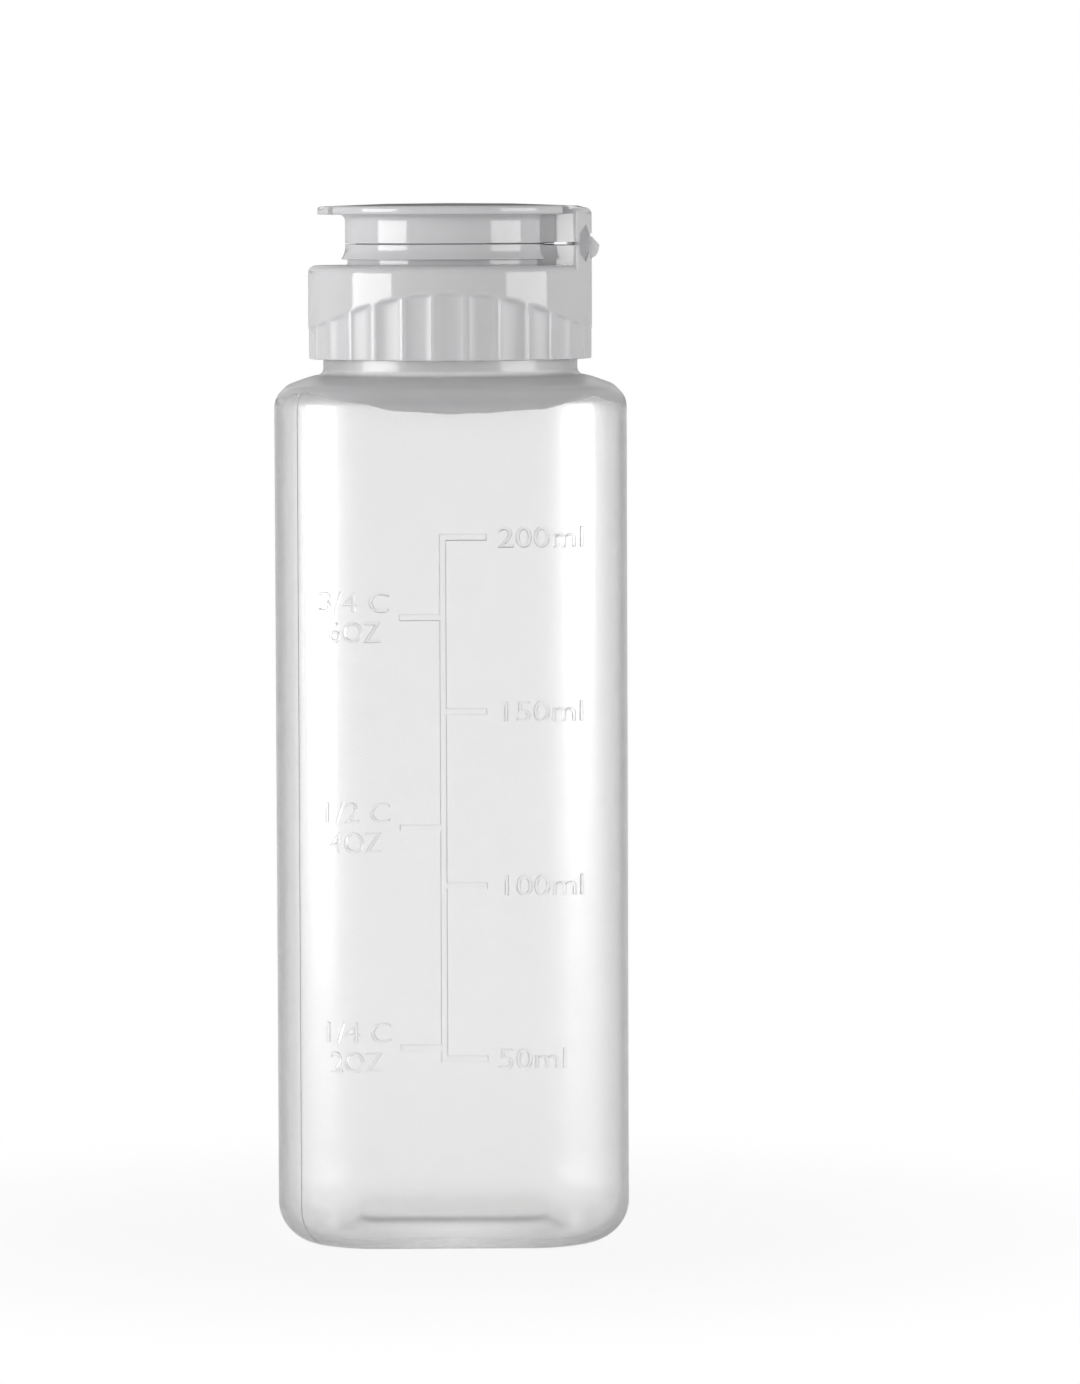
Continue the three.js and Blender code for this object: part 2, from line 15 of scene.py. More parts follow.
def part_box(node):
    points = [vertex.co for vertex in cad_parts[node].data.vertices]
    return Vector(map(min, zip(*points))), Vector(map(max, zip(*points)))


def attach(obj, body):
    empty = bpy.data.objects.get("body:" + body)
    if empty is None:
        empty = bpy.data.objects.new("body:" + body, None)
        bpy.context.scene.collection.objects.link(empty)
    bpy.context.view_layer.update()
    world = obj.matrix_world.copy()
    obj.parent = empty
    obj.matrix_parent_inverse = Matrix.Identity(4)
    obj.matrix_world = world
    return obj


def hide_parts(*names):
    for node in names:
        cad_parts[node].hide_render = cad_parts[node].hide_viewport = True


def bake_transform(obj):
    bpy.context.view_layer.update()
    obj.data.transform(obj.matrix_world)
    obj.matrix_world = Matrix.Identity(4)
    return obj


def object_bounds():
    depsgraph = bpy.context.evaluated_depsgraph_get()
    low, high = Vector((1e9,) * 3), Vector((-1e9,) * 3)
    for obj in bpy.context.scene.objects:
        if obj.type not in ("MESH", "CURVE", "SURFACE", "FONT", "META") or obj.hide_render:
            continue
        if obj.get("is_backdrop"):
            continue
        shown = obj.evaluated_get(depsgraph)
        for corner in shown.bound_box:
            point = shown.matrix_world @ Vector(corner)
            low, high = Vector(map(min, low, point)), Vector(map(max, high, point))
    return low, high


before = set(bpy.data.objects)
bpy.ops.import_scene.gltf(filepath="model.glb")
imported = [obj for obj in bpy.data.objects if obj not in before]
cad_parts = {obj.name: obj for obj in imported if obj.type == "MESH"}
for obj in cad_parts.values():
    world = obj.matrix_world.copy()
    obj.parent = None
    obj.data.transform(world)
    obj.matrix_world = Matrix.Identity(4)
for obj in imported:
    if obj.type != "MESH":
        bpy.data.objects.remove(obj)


def corners(bounds):
    """The two corners of a box as plain numbers."""
    return [[float(v) for v in corner] for corner in bounds]


cad_bounds = corners(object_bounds())
MM = 0.001
print("CAD box, mm:", [[round(v / MM, 2) for v in corner] for corner in cad_bounds])

# %% [markdown]
# ## Sizes
# The real bottle is drawn in millimetres. The outer sizes could be typed in again, but they are read from
# the frame, so that the dressed pieces stay where the solids are. Only the finer ones are named here.

# %% Sizes
bottle_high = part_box("bottle_body")[1]
cap_low, cap_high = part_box("screw_cap")
lid_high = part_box("flip_lid")[1]
insert_low, insert_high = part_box("pour_insert")
gasket_low, gasket_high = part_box("neck_gasket")
plug_low, plug_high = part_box("lid_plug")

BODY_HALF = bottle_high.x / MM
LIP_TOP = bottle_high.z / MM
CAP_RADIUS = cap_high.y / MM
RING_BOTTOM = cap_low.z / MM
COLLAR_TOP = cap_high.z / MM
LID_TOP = lid_high.z / MM
SEAT_GAP = 0.1

CORNER_RADIUS = 13.75
WALL = 0.95
BASE_WALL = 1.2
BASE_EDGE = 5.6
STANDING_RING = 2.2
PUSH_UP = 2.4
SIDE_HEIGHT = 113.1
SHOULDER_EDGE = 3.0
SHOULDER_TURN = math.radians(75)
NECK_RADIUS = 17.3
NECK_ROOT = 117.2
NECK_FILLET = 0.9
NECK_MIDDLE = 122.0
LIP_EDGE = 0.3
LIP_BEVEL = 0.1
NECK_BORE = 15.4

CAP_INNER = 18.2
COLLAR_RADIUS = 14.25
COLLAR_INNER = 13.05
DECK_TOP = 132.1
DECK_UNDER = 130.7
PARTING = COLLAR_TOP + SEAT_GAP / 2
SKIRT_BOTTOM = COLLAR_TOP + SEAT_GAP
FLANGE_RADIUS = 17.4
RIM_TOP = LID_TOP - 0.4
FLANGE_UNDER = RIM_TOP - 1.15
CEILING = LID_TOP - 1.25
print("bottle half width", round(BODY_HALF, 2), "lip top", round(LIP_TOP, 2))
print("cap radius", round(CAP_RADIUS, 2), "collar top", round(COLLAR_TOP, 2), "lid top", round(LID_TOP, 2))

# %% [markdown]
# ## Mesh helpers
# No edge of a moulding is sharp. An outline could be drawn point by point, but it is written here as its
# sharp corners, each with the radius of its rounding, as a workshop drawing gives it.


# %% Outlines
def rounded(corner_list, closed, steps=5):
    """Points of an outline whose corners (radius from the axis, height, rounding) are rounded off."""
    points = []
    count = len(corner_list)
    for i, (x, z, rounding) in enumerate(corner_list):
        here = Vector((x, z))
        if rounding == 0 or (not closed and i in (0, count - 1)):
            points.append(here)
            continue
        before = Vector(corner_list[i - 1][:2]) - here
        after = Vector(corner_list[(i + 1) % count][:2]) - here
        half = before.angle(after) / 2
        reach = min(rounding / math.tan(half), 0.49 * before.length, 0.49 * after.length)
        start = here + before.normalized() * reach
        end = here + after.normalized() * reach
        for k in range(steps + 1):
            t = k / steps
            bend = (1 - t) ** 2 * start + 2 * t * (1 - t) * here + t**2 * end
            points.append(bend)
    return points


print("points of a bent line:", len(rounded([(0, 0, 0), (1, 0, 0.3), (1, 1, 0)], False)))

# %% [markdown]
# Nearly every piece here is either turned on the bottle's axis or drawn through rings of points. A Screw
# modifier would turn the first kind only, so one skin function serves them all.


# %% Skins
def skin(rows, closed=False):
    """A bmesh through rings of points. A row of one point closes an end, and closed joins last to first."""
    mesh = bmesh.new()
    rings = [[mesh.verts.new(Vector(p) * MM) for p in row] for row in rows]
    pairs = list(zip(rings, rings[1:]))
    if closed:
        pairs.append((rings[-1], rings[0]))
    for low, high in pairs:
        for k in range(max(len(low), len(high))):
            a, b = low[k % len(low)], low[(k + 1) % len(low)]
            c, d = high[k % len(high)], high[(k + 1) % len(high)]
            face = [a] if a == b else [a, b]
            face += [c] if c == d else [d, c]
            mesh.faces.new(face)
    return mesh


def capped(rows):
    """A skin through rings, with a flat face over each end."""
    mesh = skin(rows)
    bmesh.ops.holes_fill(mesh, edges=[e for e in mesh.edges if len(e.link_faces) == 1])
    return mesh


def turned(corner_list, closed, count=160, steps=5):
    """A piece turned on the bottle's axis, from its outline drawn anticlockwise in radius and height."""
    rows = []
    for p in rounded(corner_list, closed, steps):
        if p.x < 1e-6:
            rows.append([(0, 0, p.y)])
            continue
        turns = [2 * math.pi * k / count for k in range(count)]
        rows.append([(p.x * math.cos(a), p.x * math.sin(a), p.y) for a in turns])
    return skin(rows, closed)


tube = turned([(1, 0, 0), (1, 1, 0)], False, 8)
print("faces of a tube in eight steps:", len(tube.faces))
tube.free()

# %% [markdown]
# A mesh stands for a solid only if its faces look outwards. The signed volume tells which lumps have
# theirs turned the wrong way. Looking at a picture wouldn't, because both sides of a face are drawn.


# %% Solids
def lumps(mesh):
    """The faces of a bmesh, sorted into lumps that hang together."""
    left = set(mesh.faces)
    while left:
        waiting = [left.pop()]
        lump = []
        while waiting:
            face = waiting.pop()
            lump.append(face)
            near = {other for edge in face.edges for other in edge.link_faces} & left
            left -= near
            waiting.extend(near)
        yield lump


def volume(faces):
    """Signed volume inside closed faces: it is negative where they are turned inwards."""
    total = 0.0
    for face in faces:
        first, *rest = [v.co for v in face.verts]
        total += sum(first.dot(a.cross(b)) for a, b in zip(rest, rest[1:]))
    return total / 6


cube = bmesh.new()
bmesh.ops.create_cube(cube, size=2)
print("a cube of side 2 holds", round(volume(cube.faces), 3))
cube.free()


def as_object(name, mesh):
    """A Blender object of a bmesh, with the faces of each lump turned outwards."""
    bmesh.ops.recalc_face_normals(mesh, faces=mesh.faces)
    for lump in list(lumps(mesh)):
        if volume(lump) < 0:
            bmesh.ops.reverse_faces(mesh, faces=lump)
    data = bpy.data.meshes.new(name)
    mesh.to_mesh(data)
    mesh.free()
    made = bpy.data.objects.new(name, data)
    bpy.context.scene.collection.objects.link(made)
    return made


# %% [markdown]
# Forms that were cut together in the steel of the mould are joined here with Boolean modifiers, and sharp
# edges are broken with a Bevel. Each result is put in the mesh at once, so that the next step works on it.


# %% Joining and rounding
def apply_modifiers(piece):
    """Puts the result of a piece's modifiers in its mesh."""
    graph = bpy.context.evaluated_depsgraph_get()
    result = bpy.data.meshes.new_from_object(piece.evaluated_get(graph))
    piece.modifiers.clear()
    piece.data = result
    return piece


def combine(piece, tool, operation):
    """Joins a tool to a piece, or cuts or trims the piece with it, and deletes the tool."""
    step = piece.modifiers.new("combine", "BOOLEAN")
    step.operation = operation
    step.solver = "MANIFOLD"
    step.object = tool
    bpy.context.view_layer.update()
    apply_modifiers(piece)
    bpy.data.objects.remove(tool)
    return piece


def soften(piece, width, angle):
    """Rounds off the edges of a piece that are sharper than an angle."""
    step = piece.modifiers.new("soften", "BEVEL")
    step.width = width * MM
    step.segments = 4
    step.limit_method = "ANGLE"
    step.angle_limit = math.radians(angle)
    step.use_clamp_overlap = True
    return apply_modifiers(piece)


def weld_slivers(piece, gap=0.04):
    """Closes the thin triangles without neighbours that joining may leave, by welding their corners."""
    mesh = bmesh.new()
    mesh.from_mesh(piece.data)
    loose = {v for edge in mesh.edges if not edge.is_manifold for v in edge.verts}
    bmesh.ops.remove_doubles(mesh, verts=list(loose), dist=gap * MM)
    mesh.to_mesh(piece.data)
    mesh.free()
    return piece


def open_edges(piece):
    """How many edges of a piece don't lie between exactly two faces."""
    mesh = bmesh.new()
    mesh.from_mesh(piece.data)
    count = sum(not edge.is_manifold for edge in mesh.edges)
    mesh.free()
    return count


# %% [markdown]
# Every piece ends in the same way: smooth shading that keeps its corners, its finish, the body that carries
# it, and the solid that it stands in for. A piece of the hinge belongs to two bodies and is given to none.

# %% Settling a piece
SHARP_ANGLE = math.radians(27)


def settle(piece, body, node, material):
    """Shades a piece, gives it a finish and its body, and hides the solid that it replaces."""
    piece.data.shade_smooth()
    piece.data.set_sharp_from_angle(angle=SHARP_ANGLE)
    if body:
        step = piece.modifiers.new("even shading", "WEIGHTED_NORMAL")
        step.keep_sharp = True
        apply_modifiers(piece)
    data = piece.data
    data.materials.clear()
    data.materials.append(material)
    if body:
        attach(piece, body)
    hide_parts(node)
    print(piece.name, "faces", len(data.polygons), "open edges", open_edges(piece))
    return piece


# %% [markdown]
# ## Finishes as expressions
# A finish varies over the surface by a little maths on noise. Its nodes could be wired by hand, but a small
# class wraps a socket, so that this maths reads as Python, and every other node comes from one method.


# %% Shader maths
class Wire:
    """A shader value. Arithmetic on it adds Math nodes."""

    def __init__(self, finish, socket):
        self.finish = finish
        self.socket = socket

    def math(self, operation, *values):
        sockets = dict(enumerate(values))
        return self.finish.add("ShaderNodeMath", {"operation": operation}, sockets)["Value"]

    def __add__(self, other):
        return self.math("ADD", self, other)

    def __radd__(self, other):
        return self.math("ADD", other, self)

    def __sub__(self, other):
        return self.math("SUBTRACT", self, other)

    def __rsub__(self, other):
        return self.math("SUBTRACT", other, self)

    def __mul__(self, other):
        return self.math("MULTIPLY", self, other)

    def __rmul__(self, other):
        return self.math("MULTIPLY", other, self)


# %% [markdown]
# One method adds every other node, from its type, its settings and its sockets. The settings go first,
# because some of them change which sockets a node has.


# %% Nodes of a finish
class Outputs:
    """The outputs of a node, by name, as wires."""

    def __init__(self, finish, node):
        self.finish = finish
        self.node = node

    def __getitem__(self, name):
        return Wire(self.finish, self.node.outputs[name])


class Finish:
    """The nodes of a material, or of the world."""

    def __init__(self, owner):
        self.owner = owner
        owner.use_nodes = True
        self.nodes = owner.node_tree.nodes
        self.links = owner.node_tree.links
        self.nodes.clear()

    def add(self, kind, settings=None, sockets=None):
        """A node from its type, its settings and the values or links of its sockets."""
        node = self.nodes.new(kind)
        for key, value in (settings or {}).items():
            setattr(node, key, value)
        for key, value in (sockets or {}).items():
            if isinstance(value, Wire):
                self.links.new(value.socket, node.inputs[key])
            else:
                node.inputs[key].default_value = value
        return Outputs(self, node)

    def surface(self, shader, volume=None, kind="ShaderNodeOutputMaterial"):
        """Ends the nodes in an output and gives back what they belong to."""
        self.add(kind, {}, {"Surface": shader, "Volume": volume} if volume else {"Surface": shader})
        return self.owner


# %% [markdown]
# A few turns of phrase come back in every finish: the larger of two masks, a soft step, a mix of two
# colours, a distance along a direction, noise and a bump.


# %% Shader helpers
def largest(first, *others):
    """The largest of some values, for joining masks."""
    for other in others:
        first = first.math("MAXIMUM", first, other)
    return first


def ramp(value, low, high):
    """0 below one value and 1 above another, with a soft step. It falls if the first value is higher."""
    made = value.finish.add(
        "ShaderNodeMapRange",
        {"interpolation_type": "SMOOTHSTEP"},
        {"Value": value, "From Min": min(low, high), "From Max": max(low, high)},
    )["Result"]
    return made if low < high else 1 - made


COLOUR_A, COLOUR_B, COLOUR_RESULT = 6, 7, 2  # sockets of a Mix node that are for colours


def blend_colours(finish, factor, first, second):
    """A colour that runs from the first to the second with a factor."""
    sockets = {"Factor": factor, COLOUR_A: first, COLOUR_B: second}
    return finish.add("ShaderNodeMix", {"data_type": "RGBA"}, sockets)[COLOUR_RESULT]


def along(finish, place, direction):
    """How far a place lies along a direction."""
    product = finish.add("ShaderNodeVectorMath", {"operation": "DOT_PRODUCT"}, {0: place, 1: direction})
    return product["Value"]


def noise(finish, scale, detail=2.0, roughness=0.5, stretch=(1, 1, 1)):
    """Noise fixed to the object, in features per metre, drawn out along an axis by stretch."""
    place = finish.add("ShaderNodeTexCoord")["Object"]
    scaled = finish.add("ShaderNodeMapping", {}, {"Vector": place, "Scale": stretch})["Vector"]
    sockets = {"Vector": scaled, "Scale": scale, "Detail": detail, "Roughness": roughness}
    return finish.add("ShaderNodeTexNoise", {}, sockets)["Fac"]


def bump(finish, height, distance):
    """A normal from a height that runs from 0 to 1 over a distance in millimetres."""
    return finish.add("ShaderNodeBump", {}, {"Height": height, "Distance": distance * MM})["Normal"]


# %% [markdown]
# ## The bottle's plastic
# The bottle is blown from natural polypropylene, which is clear but milky: light goes through it and is
# blurred. The shoulder stays thick, because the hot tube is stretched least there, and is a little cloudier.
# Its grey band is painted shade: a mask from the place on the bottle darkens the colour there and lets less
# light through, lighter towards the top, so it runs right round. The edge of this band hangs lowest in the
# middle of each side and is a little ragged.

# %% Where the shoulder's shade is painted
# The grey of the band is painted shade, partly from the cloudier plastic. NECK_CLEARS is how much of it the
# neck loses.
BAND_LOW = 112.55  # height of the lower edge of the grey band, in the middle of a side
BAND_BEND = 0.0069  # how fast that edge rises towards the corners
BAND_LEAN = 0.023  # how far it drops for each millimetre towards the hinge
NECK_CLEARS = 0.6  # how much of the cloudiness the neck loses
print("the grey band hangs down to", BAND_LOW, "mm in mid side")


def thick_shoulder_shade(finish, place):
    """Masks of the painted shade on the thick shoulder, above an edge that hangs lowest in mid side, and of
    its upper part.
    """
    x = along(finish, place, (1 / MM, 0, 0))
    y = along(finish, place, (0, 1 / MM, 0))
    z = along(finish, place, (0, 0, 1 / MM))
    aside = x.math("MINIMUM", x.math("ABSOLUTE", x), y.math("ABSOLUTE", y))
    ragged = noise(finish, 420, 3.0, 0.6) - 0.5
    wavy = noise(finish, 130, 1.0) - 0.5
    above = z - aside * aside * BAND_BEND + x * BAND_LEAN - BAND_LOW + 0.5 * ragged + wavy
    shoulder = ramp(above, -0.1, 0.1) * (1 - NECK_CLEARS * ramp(z, NECK_ROOT - 0.2, NECK_ROOT + 0.8))
    return shoulder, ramp(z, BAND_LOW + 1.2, BAND_LOW + 3.6)


# %% [markdown]
# A volume full of fine haze would be the true way to show milky plastic, but it is slow and noisy. A rough
# transmitting surface on a wall of the real thickness comes close to it. Two are mixed by the mask: the
# clear wall, and the cloudy shoulder, whose darker colour is painted shade and which lets less light through.
# The blown wall is never quite even, so a slow bump runs over both, and a thin coat gives the gloss of the
# outer skin. Absorption in the wall darkens its edges, and shadow rays are let through, because such a
# bottle casts only a faint shadow.

# %% Frosted bottle
MILKY_INDEX = 1.46  # a little under the 1.49 of polypropylene, which gives lighter edges


def milky(finish, colour, roughness, transmission, normal):
    """The shader of natural polypropylene, from how much light goes through it."""
    sockets = {
        "Base Color": colour,
        "Roughness": roughness,
        "IOR": MILKY_INDEX,
        "Transmission Weight": transmission,
        "Coat Weight": 0.14,
        "Coat Roughness": 0.08,
        "Coat IOR": 1.5,
        "Normal": normal,
    }
    return finish.add("ShaderNodeBsdfPrincipled", {}, sockets)["BSDF"]


def frosted_plastic(name, wall_low, wall_high, thick_shade_low, thick_shade_high):
    """The bottle's finish, from the darkest and lightest colours of the wall and of the painted shade on the
    thick shoulder.
    """
    finish = Finish(bpy.data.materials.new(name))
    place = finish.add("ShaderNodeTexCoord")["Object"]
    slow = noise(finish, 70, 2.0, 0.5, (1, 1, 0.3))
    mottle = noise(finish, 260, 4.0, 0.6)
    uneven = bump(finish, slow, 0.05)
    shoulder, upper = thick_shoulder_shade(finish, place)
    wall = blend_colours(finish, mottle, (*wall_low, 1), (*wall_high, 1))
    clear = milky(finish, wall, 0.17 + 0.06 * mottle, 0.93, uneven)
    # painted shade: the grey of the thick shoulder, lighter towards the top
    band_shade_colour = blend_colours(finish, upper, (*thick_shade_low, 1), (*thick_shade_high, 1))
    cloudy = milky(finish, band_shade_colour, 0.34 + 0.06 * mottle, 0.45, uneven)
    plastic = finish.add("ShaderNodeMixShader", {}, {0: shoulder, 1: clear, 2: cloudy})["Shader"]
    open_air = finish.add("ShaderNodeBsdfTransparent", {}, {"Color": (0.9, 0.9, 0.9, 1)})["BSDF"]
    shadow = finish.add("ShaderNodeLightPath")["Is Shadow Ray"]
    whole = finish.add("ShaderNodeMixShader", {}, {0: shadow * 0.9, 1: plastic, 2: open_air})
    dense = finish.add("ShaderNodeVolumeAbsorption", {}, {"Color": (0.5, 0.5, 0.5, 1), "Density": 50.0})
    return finish.surface(whole["Shader"], dense["Volume"])


# the last two colours are the painted shade of the shoulder's grey band
bottle_finish = frosted_plastic(
    "frosted_bottle", (0.97, 0.97, 0.97), (0.995, 0.995, 0.995), (0.6, 0.6, 0.61), (0.84, 0.84, 0.85)
)
print("nodes in the bottle's finish:", len(bottle_finish.node_tree.nodes))

# %% [markdown]
# ## The cap's plastic
# The cap and lid are injection moulded in white polypropylene: glossy, and a little translucent, so a soft
# glow under the surface takes the hardness out of the shadows. The floors of the grip flutes come duller
# out of the mould. They lie a little inside the ring's radius, so the distance from the axis finds them.
# The wings of the hinge are given a darker colour: painted shade for the dark of their pockets, which shows
# through such thin film.


# %% Cap and film plastics
def moulded_plastic(name, colour, roughness, glow, ripple, satin=0.0):
    """A moulding's plastic. Satin is the extra roughness just inside the cap's radius, in the flutes."""
    finish = Finish(bpy.data.materials.new(name))
    place = finish.add("ShaderNodeTexCoord")["Object"]
    sockets = {0: place, 1: (1 / MM, 1 / MM, 0)}
    flat = finish.add("ShaderNodeVectorMath", {"operation": "MULTIPLY"}, sockets)["Vector"]
    reach = finish.add("ShaderNodeVectorMath", {"operation": "LENGTH"}, {0: flat})["Value"]
    sunk = ramp(reach, CAP_RADIUS - 0.03, CAP_RADIUS - 0.08)
    sunk = sunk * ramp(reach, CAP_RADIUS - 0.6, CAP_RADIUS - 0.5)
    slow = noise(finish, 160, 3.0)
    fine = noise(finish, 2500, 2.0)
    tone = blend_colours(finish, slow, (*[c * 0.98 for c in colour], 1), (*colour, 1))
    shader = finish.add(
        "ShaderNodeBsdfPrincipled",
        {},
        {
            "Base Color": tone,
            "Roughness": roughness + 0.05 * fine + satin * sunk,
            "IOR": 1.5,
            "Subsurface Weight": glow,
            "Subsurface Radius": (1, 1, 1),
            "Subsurface Scale": 1.2 * MM,
            "Normal": bump(finish, slow + 0.08 * fine, ripple),
        },
    )
    return finish.surface(shader["BSDF"])


cap_finish = moulded_plastic("cap_plastic", (0.67, 0.67, 0.68), 0.05, 0.25, 0.004, 0.25)
# painted light: the strap is lighter than the cap's plastic, to lift its nose out of shade
strap_painted_light_finish = moulded_plastic("hinge_film", (0.84, 0.84, 0.85), 0.16, 0.5, 0.02)
# painted shade: the wings' dark grey stands for the shadow in their pockets
wing_painted_shade_finish = moulded_plastic("hinge_wings_painted_shade", (0.42, 0.42, 0.43), 0.3, 0.5, 0.02)
insert_finish = moulded_plastic("insert_plastic", (0.70, 0.70, 0.69), 0.3, 0.3, 0.02)
gasket_finish = moulded_plastic("gasket_rubber", (0.62, 0.63, 0.63), 0.45, 0.4, 0.03)
stopper_finish = moulded_plastic("stopper_plastic", (0.70, 0.70, 0.69), 0.35, 0.4, 0.02)
print("nodes in the cap's finish:", len(cap_finish.node_tree.nodes))

# %% [markdown]
# ## The bottle
# The real bottle is blown in a mould, square with round corners, and its neck is a circle. Both come from
# one ring function: a square whose corner radius grows to its half width is a circle. At two opposite
# corners the ring has a few points closer together, for the fine line where the mould parts.

# %% Rings of the bottle
FLAT_STEPS = 8
CORNER_STEPS = 36
SEAM_STEP = 16


def plan_radius(angle, half, corner):
    """Distance from the axis to the edge of a square with round corners."""
    quarter = math.pi / 2
    turn = angle % quarter
    fold = min(turn, quarter - turn)
    flat = half - corner
    if half * math.tan(fold) <= flat:
        return half / math.cos(fold)
    reach = flat * (math.cos(fold) + math.sin(fold))
    return reach + math.sqrt(max(0.0, corner**2 - flat**2 * (1 - math.sin(2 * fold))))


def plan_angles():
    """Directions round the bottle, each with 1 where the mould's parting line runs and 0 elsewhere."""
    quarter = math.pi / 2
    flat_angle = math.atan2(BODY_HALF - CORNER_RADIUS, BODY_HALF)
    corner_reach = math.hypot(BODY_HALF, BODY_HALF) - (math.sqrt(2) - 1) * CORNER_RADIUS
    found = []
    for side in range(4):
        for i in range(2 * FLAT_STEPS):
            found.append((side * quarter - flat_angle + flat_angle * i / FLAT_STEPS, 0))
        for i in range(CORNER_STEPS):
            angle = side * quarter + flat_angle + (quarter - 2 * flat_angle) * i / CORNER_STEPS
            found.append((angle, 0))
            if side % 2 == 0 and i == SEAM_STEP:
                found.pop()
                for aside, proud in ((-1.6, 0), (-0.6, 1), (0.6, 1), (1.6, 0)):
                    found.append((angle + aside * SEAM_HALF / corner_reach, proud))
    return found


SEAM_HALF = 0.1
SEAM_RISE = 0.07
PLAN = plan_angles()
print("directions round the bottle:", len(PLAN))


def ring(half, corner, z, seam=0.0):
    """Points round the bottle at a height, from the half width and corner radius."""
    row = []
    for angle, proud in PLAN:
        reach = plan_radius(angle, half, corner) + seam * proud
        row.append((reach * math.cos(angle), reach * math.sin(angle), z))
    return row


def inset(amount, z, seam=0.0):
    """A ring that lies in from the outer wall by an amount."""
    return ring(BODY_HALF - amount, CORNER_RADIUS - amount, z, seam)


def between(a, b, t):
    """A value on the way from one to another."""
    return a + (b - a) * t


# %% [markdown]
# The base is domed up inside a flat standing ring, so that the bottle doesn't rock. The shoulder turns in
# by a small radius and then runs almost flat to the neck. A Solidify modifier could thicken one skin, but
# the mould shapes only the outside, so the inside is a second skin with a wall and a floor of its own.


# %% Skins of the bottle
EDGE_STEPS = 12
SIDE_STEPS = 24
TURN_STEPS = 10
DRAW_STEPS = 8
FILLET_STEPS = 6


def bottle_skin(side, floor, throat):
    """Rings from the middle of the base to the neck, in from the outside by the wall and up by the floor."""
    seam = 0 if throat else SEAM_RISE
    rows = [[(0, 0, PUSH_UP + floor)]]
    for radius, share in ((3, 0.995), (6, 0.98)):
        rows.append(ring(radius, radius, PUSH_UP * share + floor))
    dome = [(3.4, 0.80), (2.4, 0.55), (1.5, 0.28), (0.8, 0.09), (0.3, 0.01)]
    for run, share in dome:
        rows.append(inset(BASE_EDGE + STANDING_RING + run, PUSH_UP * share + floor))
    rows.append(inset(BASE_EDGE + STANDING_RING, floor))
    under = BASE_EDGE - side
    for i in range(EDGE_STEPS + 1):
        turn = math.pi / 2 * (1 - i / EDGE_STEPS)
        z = floor + under * (1 - math.sin(turn))
        rows.append(inset(BASE_EDGE - under * math.cos(turn), z, seam))
    side_low = floor + under
    for i in range(1, SIDE_STEPS):
        rows.append(inset(side, between(side_low, SIDE_HEIGHT, i / SIDE_STEPS), seam))
    turn_in = SHOULDER_EDGE - side
    for i in range(TURN_STEPS + 1):
        turn = SHOULDER_TURN * i / TURN_STEPS
        z = SIDE_HEIGHT + turn_in * math.sin(turn)
        rows.append(inset(SHOULDER_EDGE - turn_in * math.cos(turn), z, seam))
    drawn = SHOULDER_EDGE - turn_in * math.cos(SHOULDER_TURN)
    edge_z = SIDE_HEIGHT + turn_in * math.sin(SHOULDER_TURN)
    root = NECK_BORE if throat else NECK_RADIUS + NECK_FILLET
    root_z = NECK_ROOT - side
    for i in range(1, DRAW_STEPS + 1):
        t = i / DRAW_STEPS
        half = between(BODY_HALF - drawn, root, t)
        corner = between(CORNER_RADIUS - drawn, root, t)
        rows.append(ring(half, corner, between(edge_z, root_z, 1 - (1 - t) ** 1.2), seam * (1 - t)))
    return rows


print("rings from base to neck:", len(bottle_skin(0, 0, False)))

# %% [markdown]
# The neck is added to the outer rings with a small fillet at its root. The inner rings follow in reverse
# order, so one skin runs up the outside, over the lip and down the inside.


# %% Bottle shell
def circle(radius, z):
    """A round ring, with as many points as those of the body."""
    return ring(radius, radius, z)


def bottle_shell():
    """The hollow bottle with its neck, still without thread and scale."""
    outside = bottle_skin(0, 0, False)
    for i in range(1, FILLET_STEPS + 1):
        turn = math.pi / 2 * i / FILLET_STEPS
        z = NECK_ROOT + NECK_FILLET * (1 - math.cos(turn))
        outside.append(circle(NECK_RADIUS + NECK_FILLET * (1 - math.sin(turn)), z))
    inside = bottle_skin(WALL, BASE_WALL, True)
    for rows, radius, sign in ((outside, NECK_RADIUS, -1), (inside, NECK_BORE, 1)):
        rows.append(circle(radius, NECK_MIDDLE))
        for drawn, drop in ((0, LIP_EDGE), (LIP_BEVEL, LIP_BEVEL), (LIP_EDGE, 0)):
            rows.append(circle(radius + sign * drawn, LIP_TOP - drop))
    return as_object("bottle_shell", skin(outside + inside[::-1]))


shell = bottle_shell()
print("points in the shell:", len(shell.data.vertices))

# %% [markdown]
# ## Threads
# A thread is one ridge wound round the neck. Its section is a trapezium that starts and ends at nothing,
# and the ridge inside the cap runs half a pitch below, so that the two never meet as the cap turns. Both
# stay between the lip and the ring's rim, so that no end of them shows when the cap is on.

# %% Threads
PITCH = 4.23
THREAD_TURNS = 1.0
THREAD_LOW = 121.5
THREAD_HEIGHT = 0.6
THREAD_SINK = 0.3
THREAD_FOOT = 0.95  # half the ridge's width at its foot, which is sunk in the wall
THREAD_CREST = 0.42  # half its width at the top
THREAD_FADE = 0.08  # share of its length over which each end rises


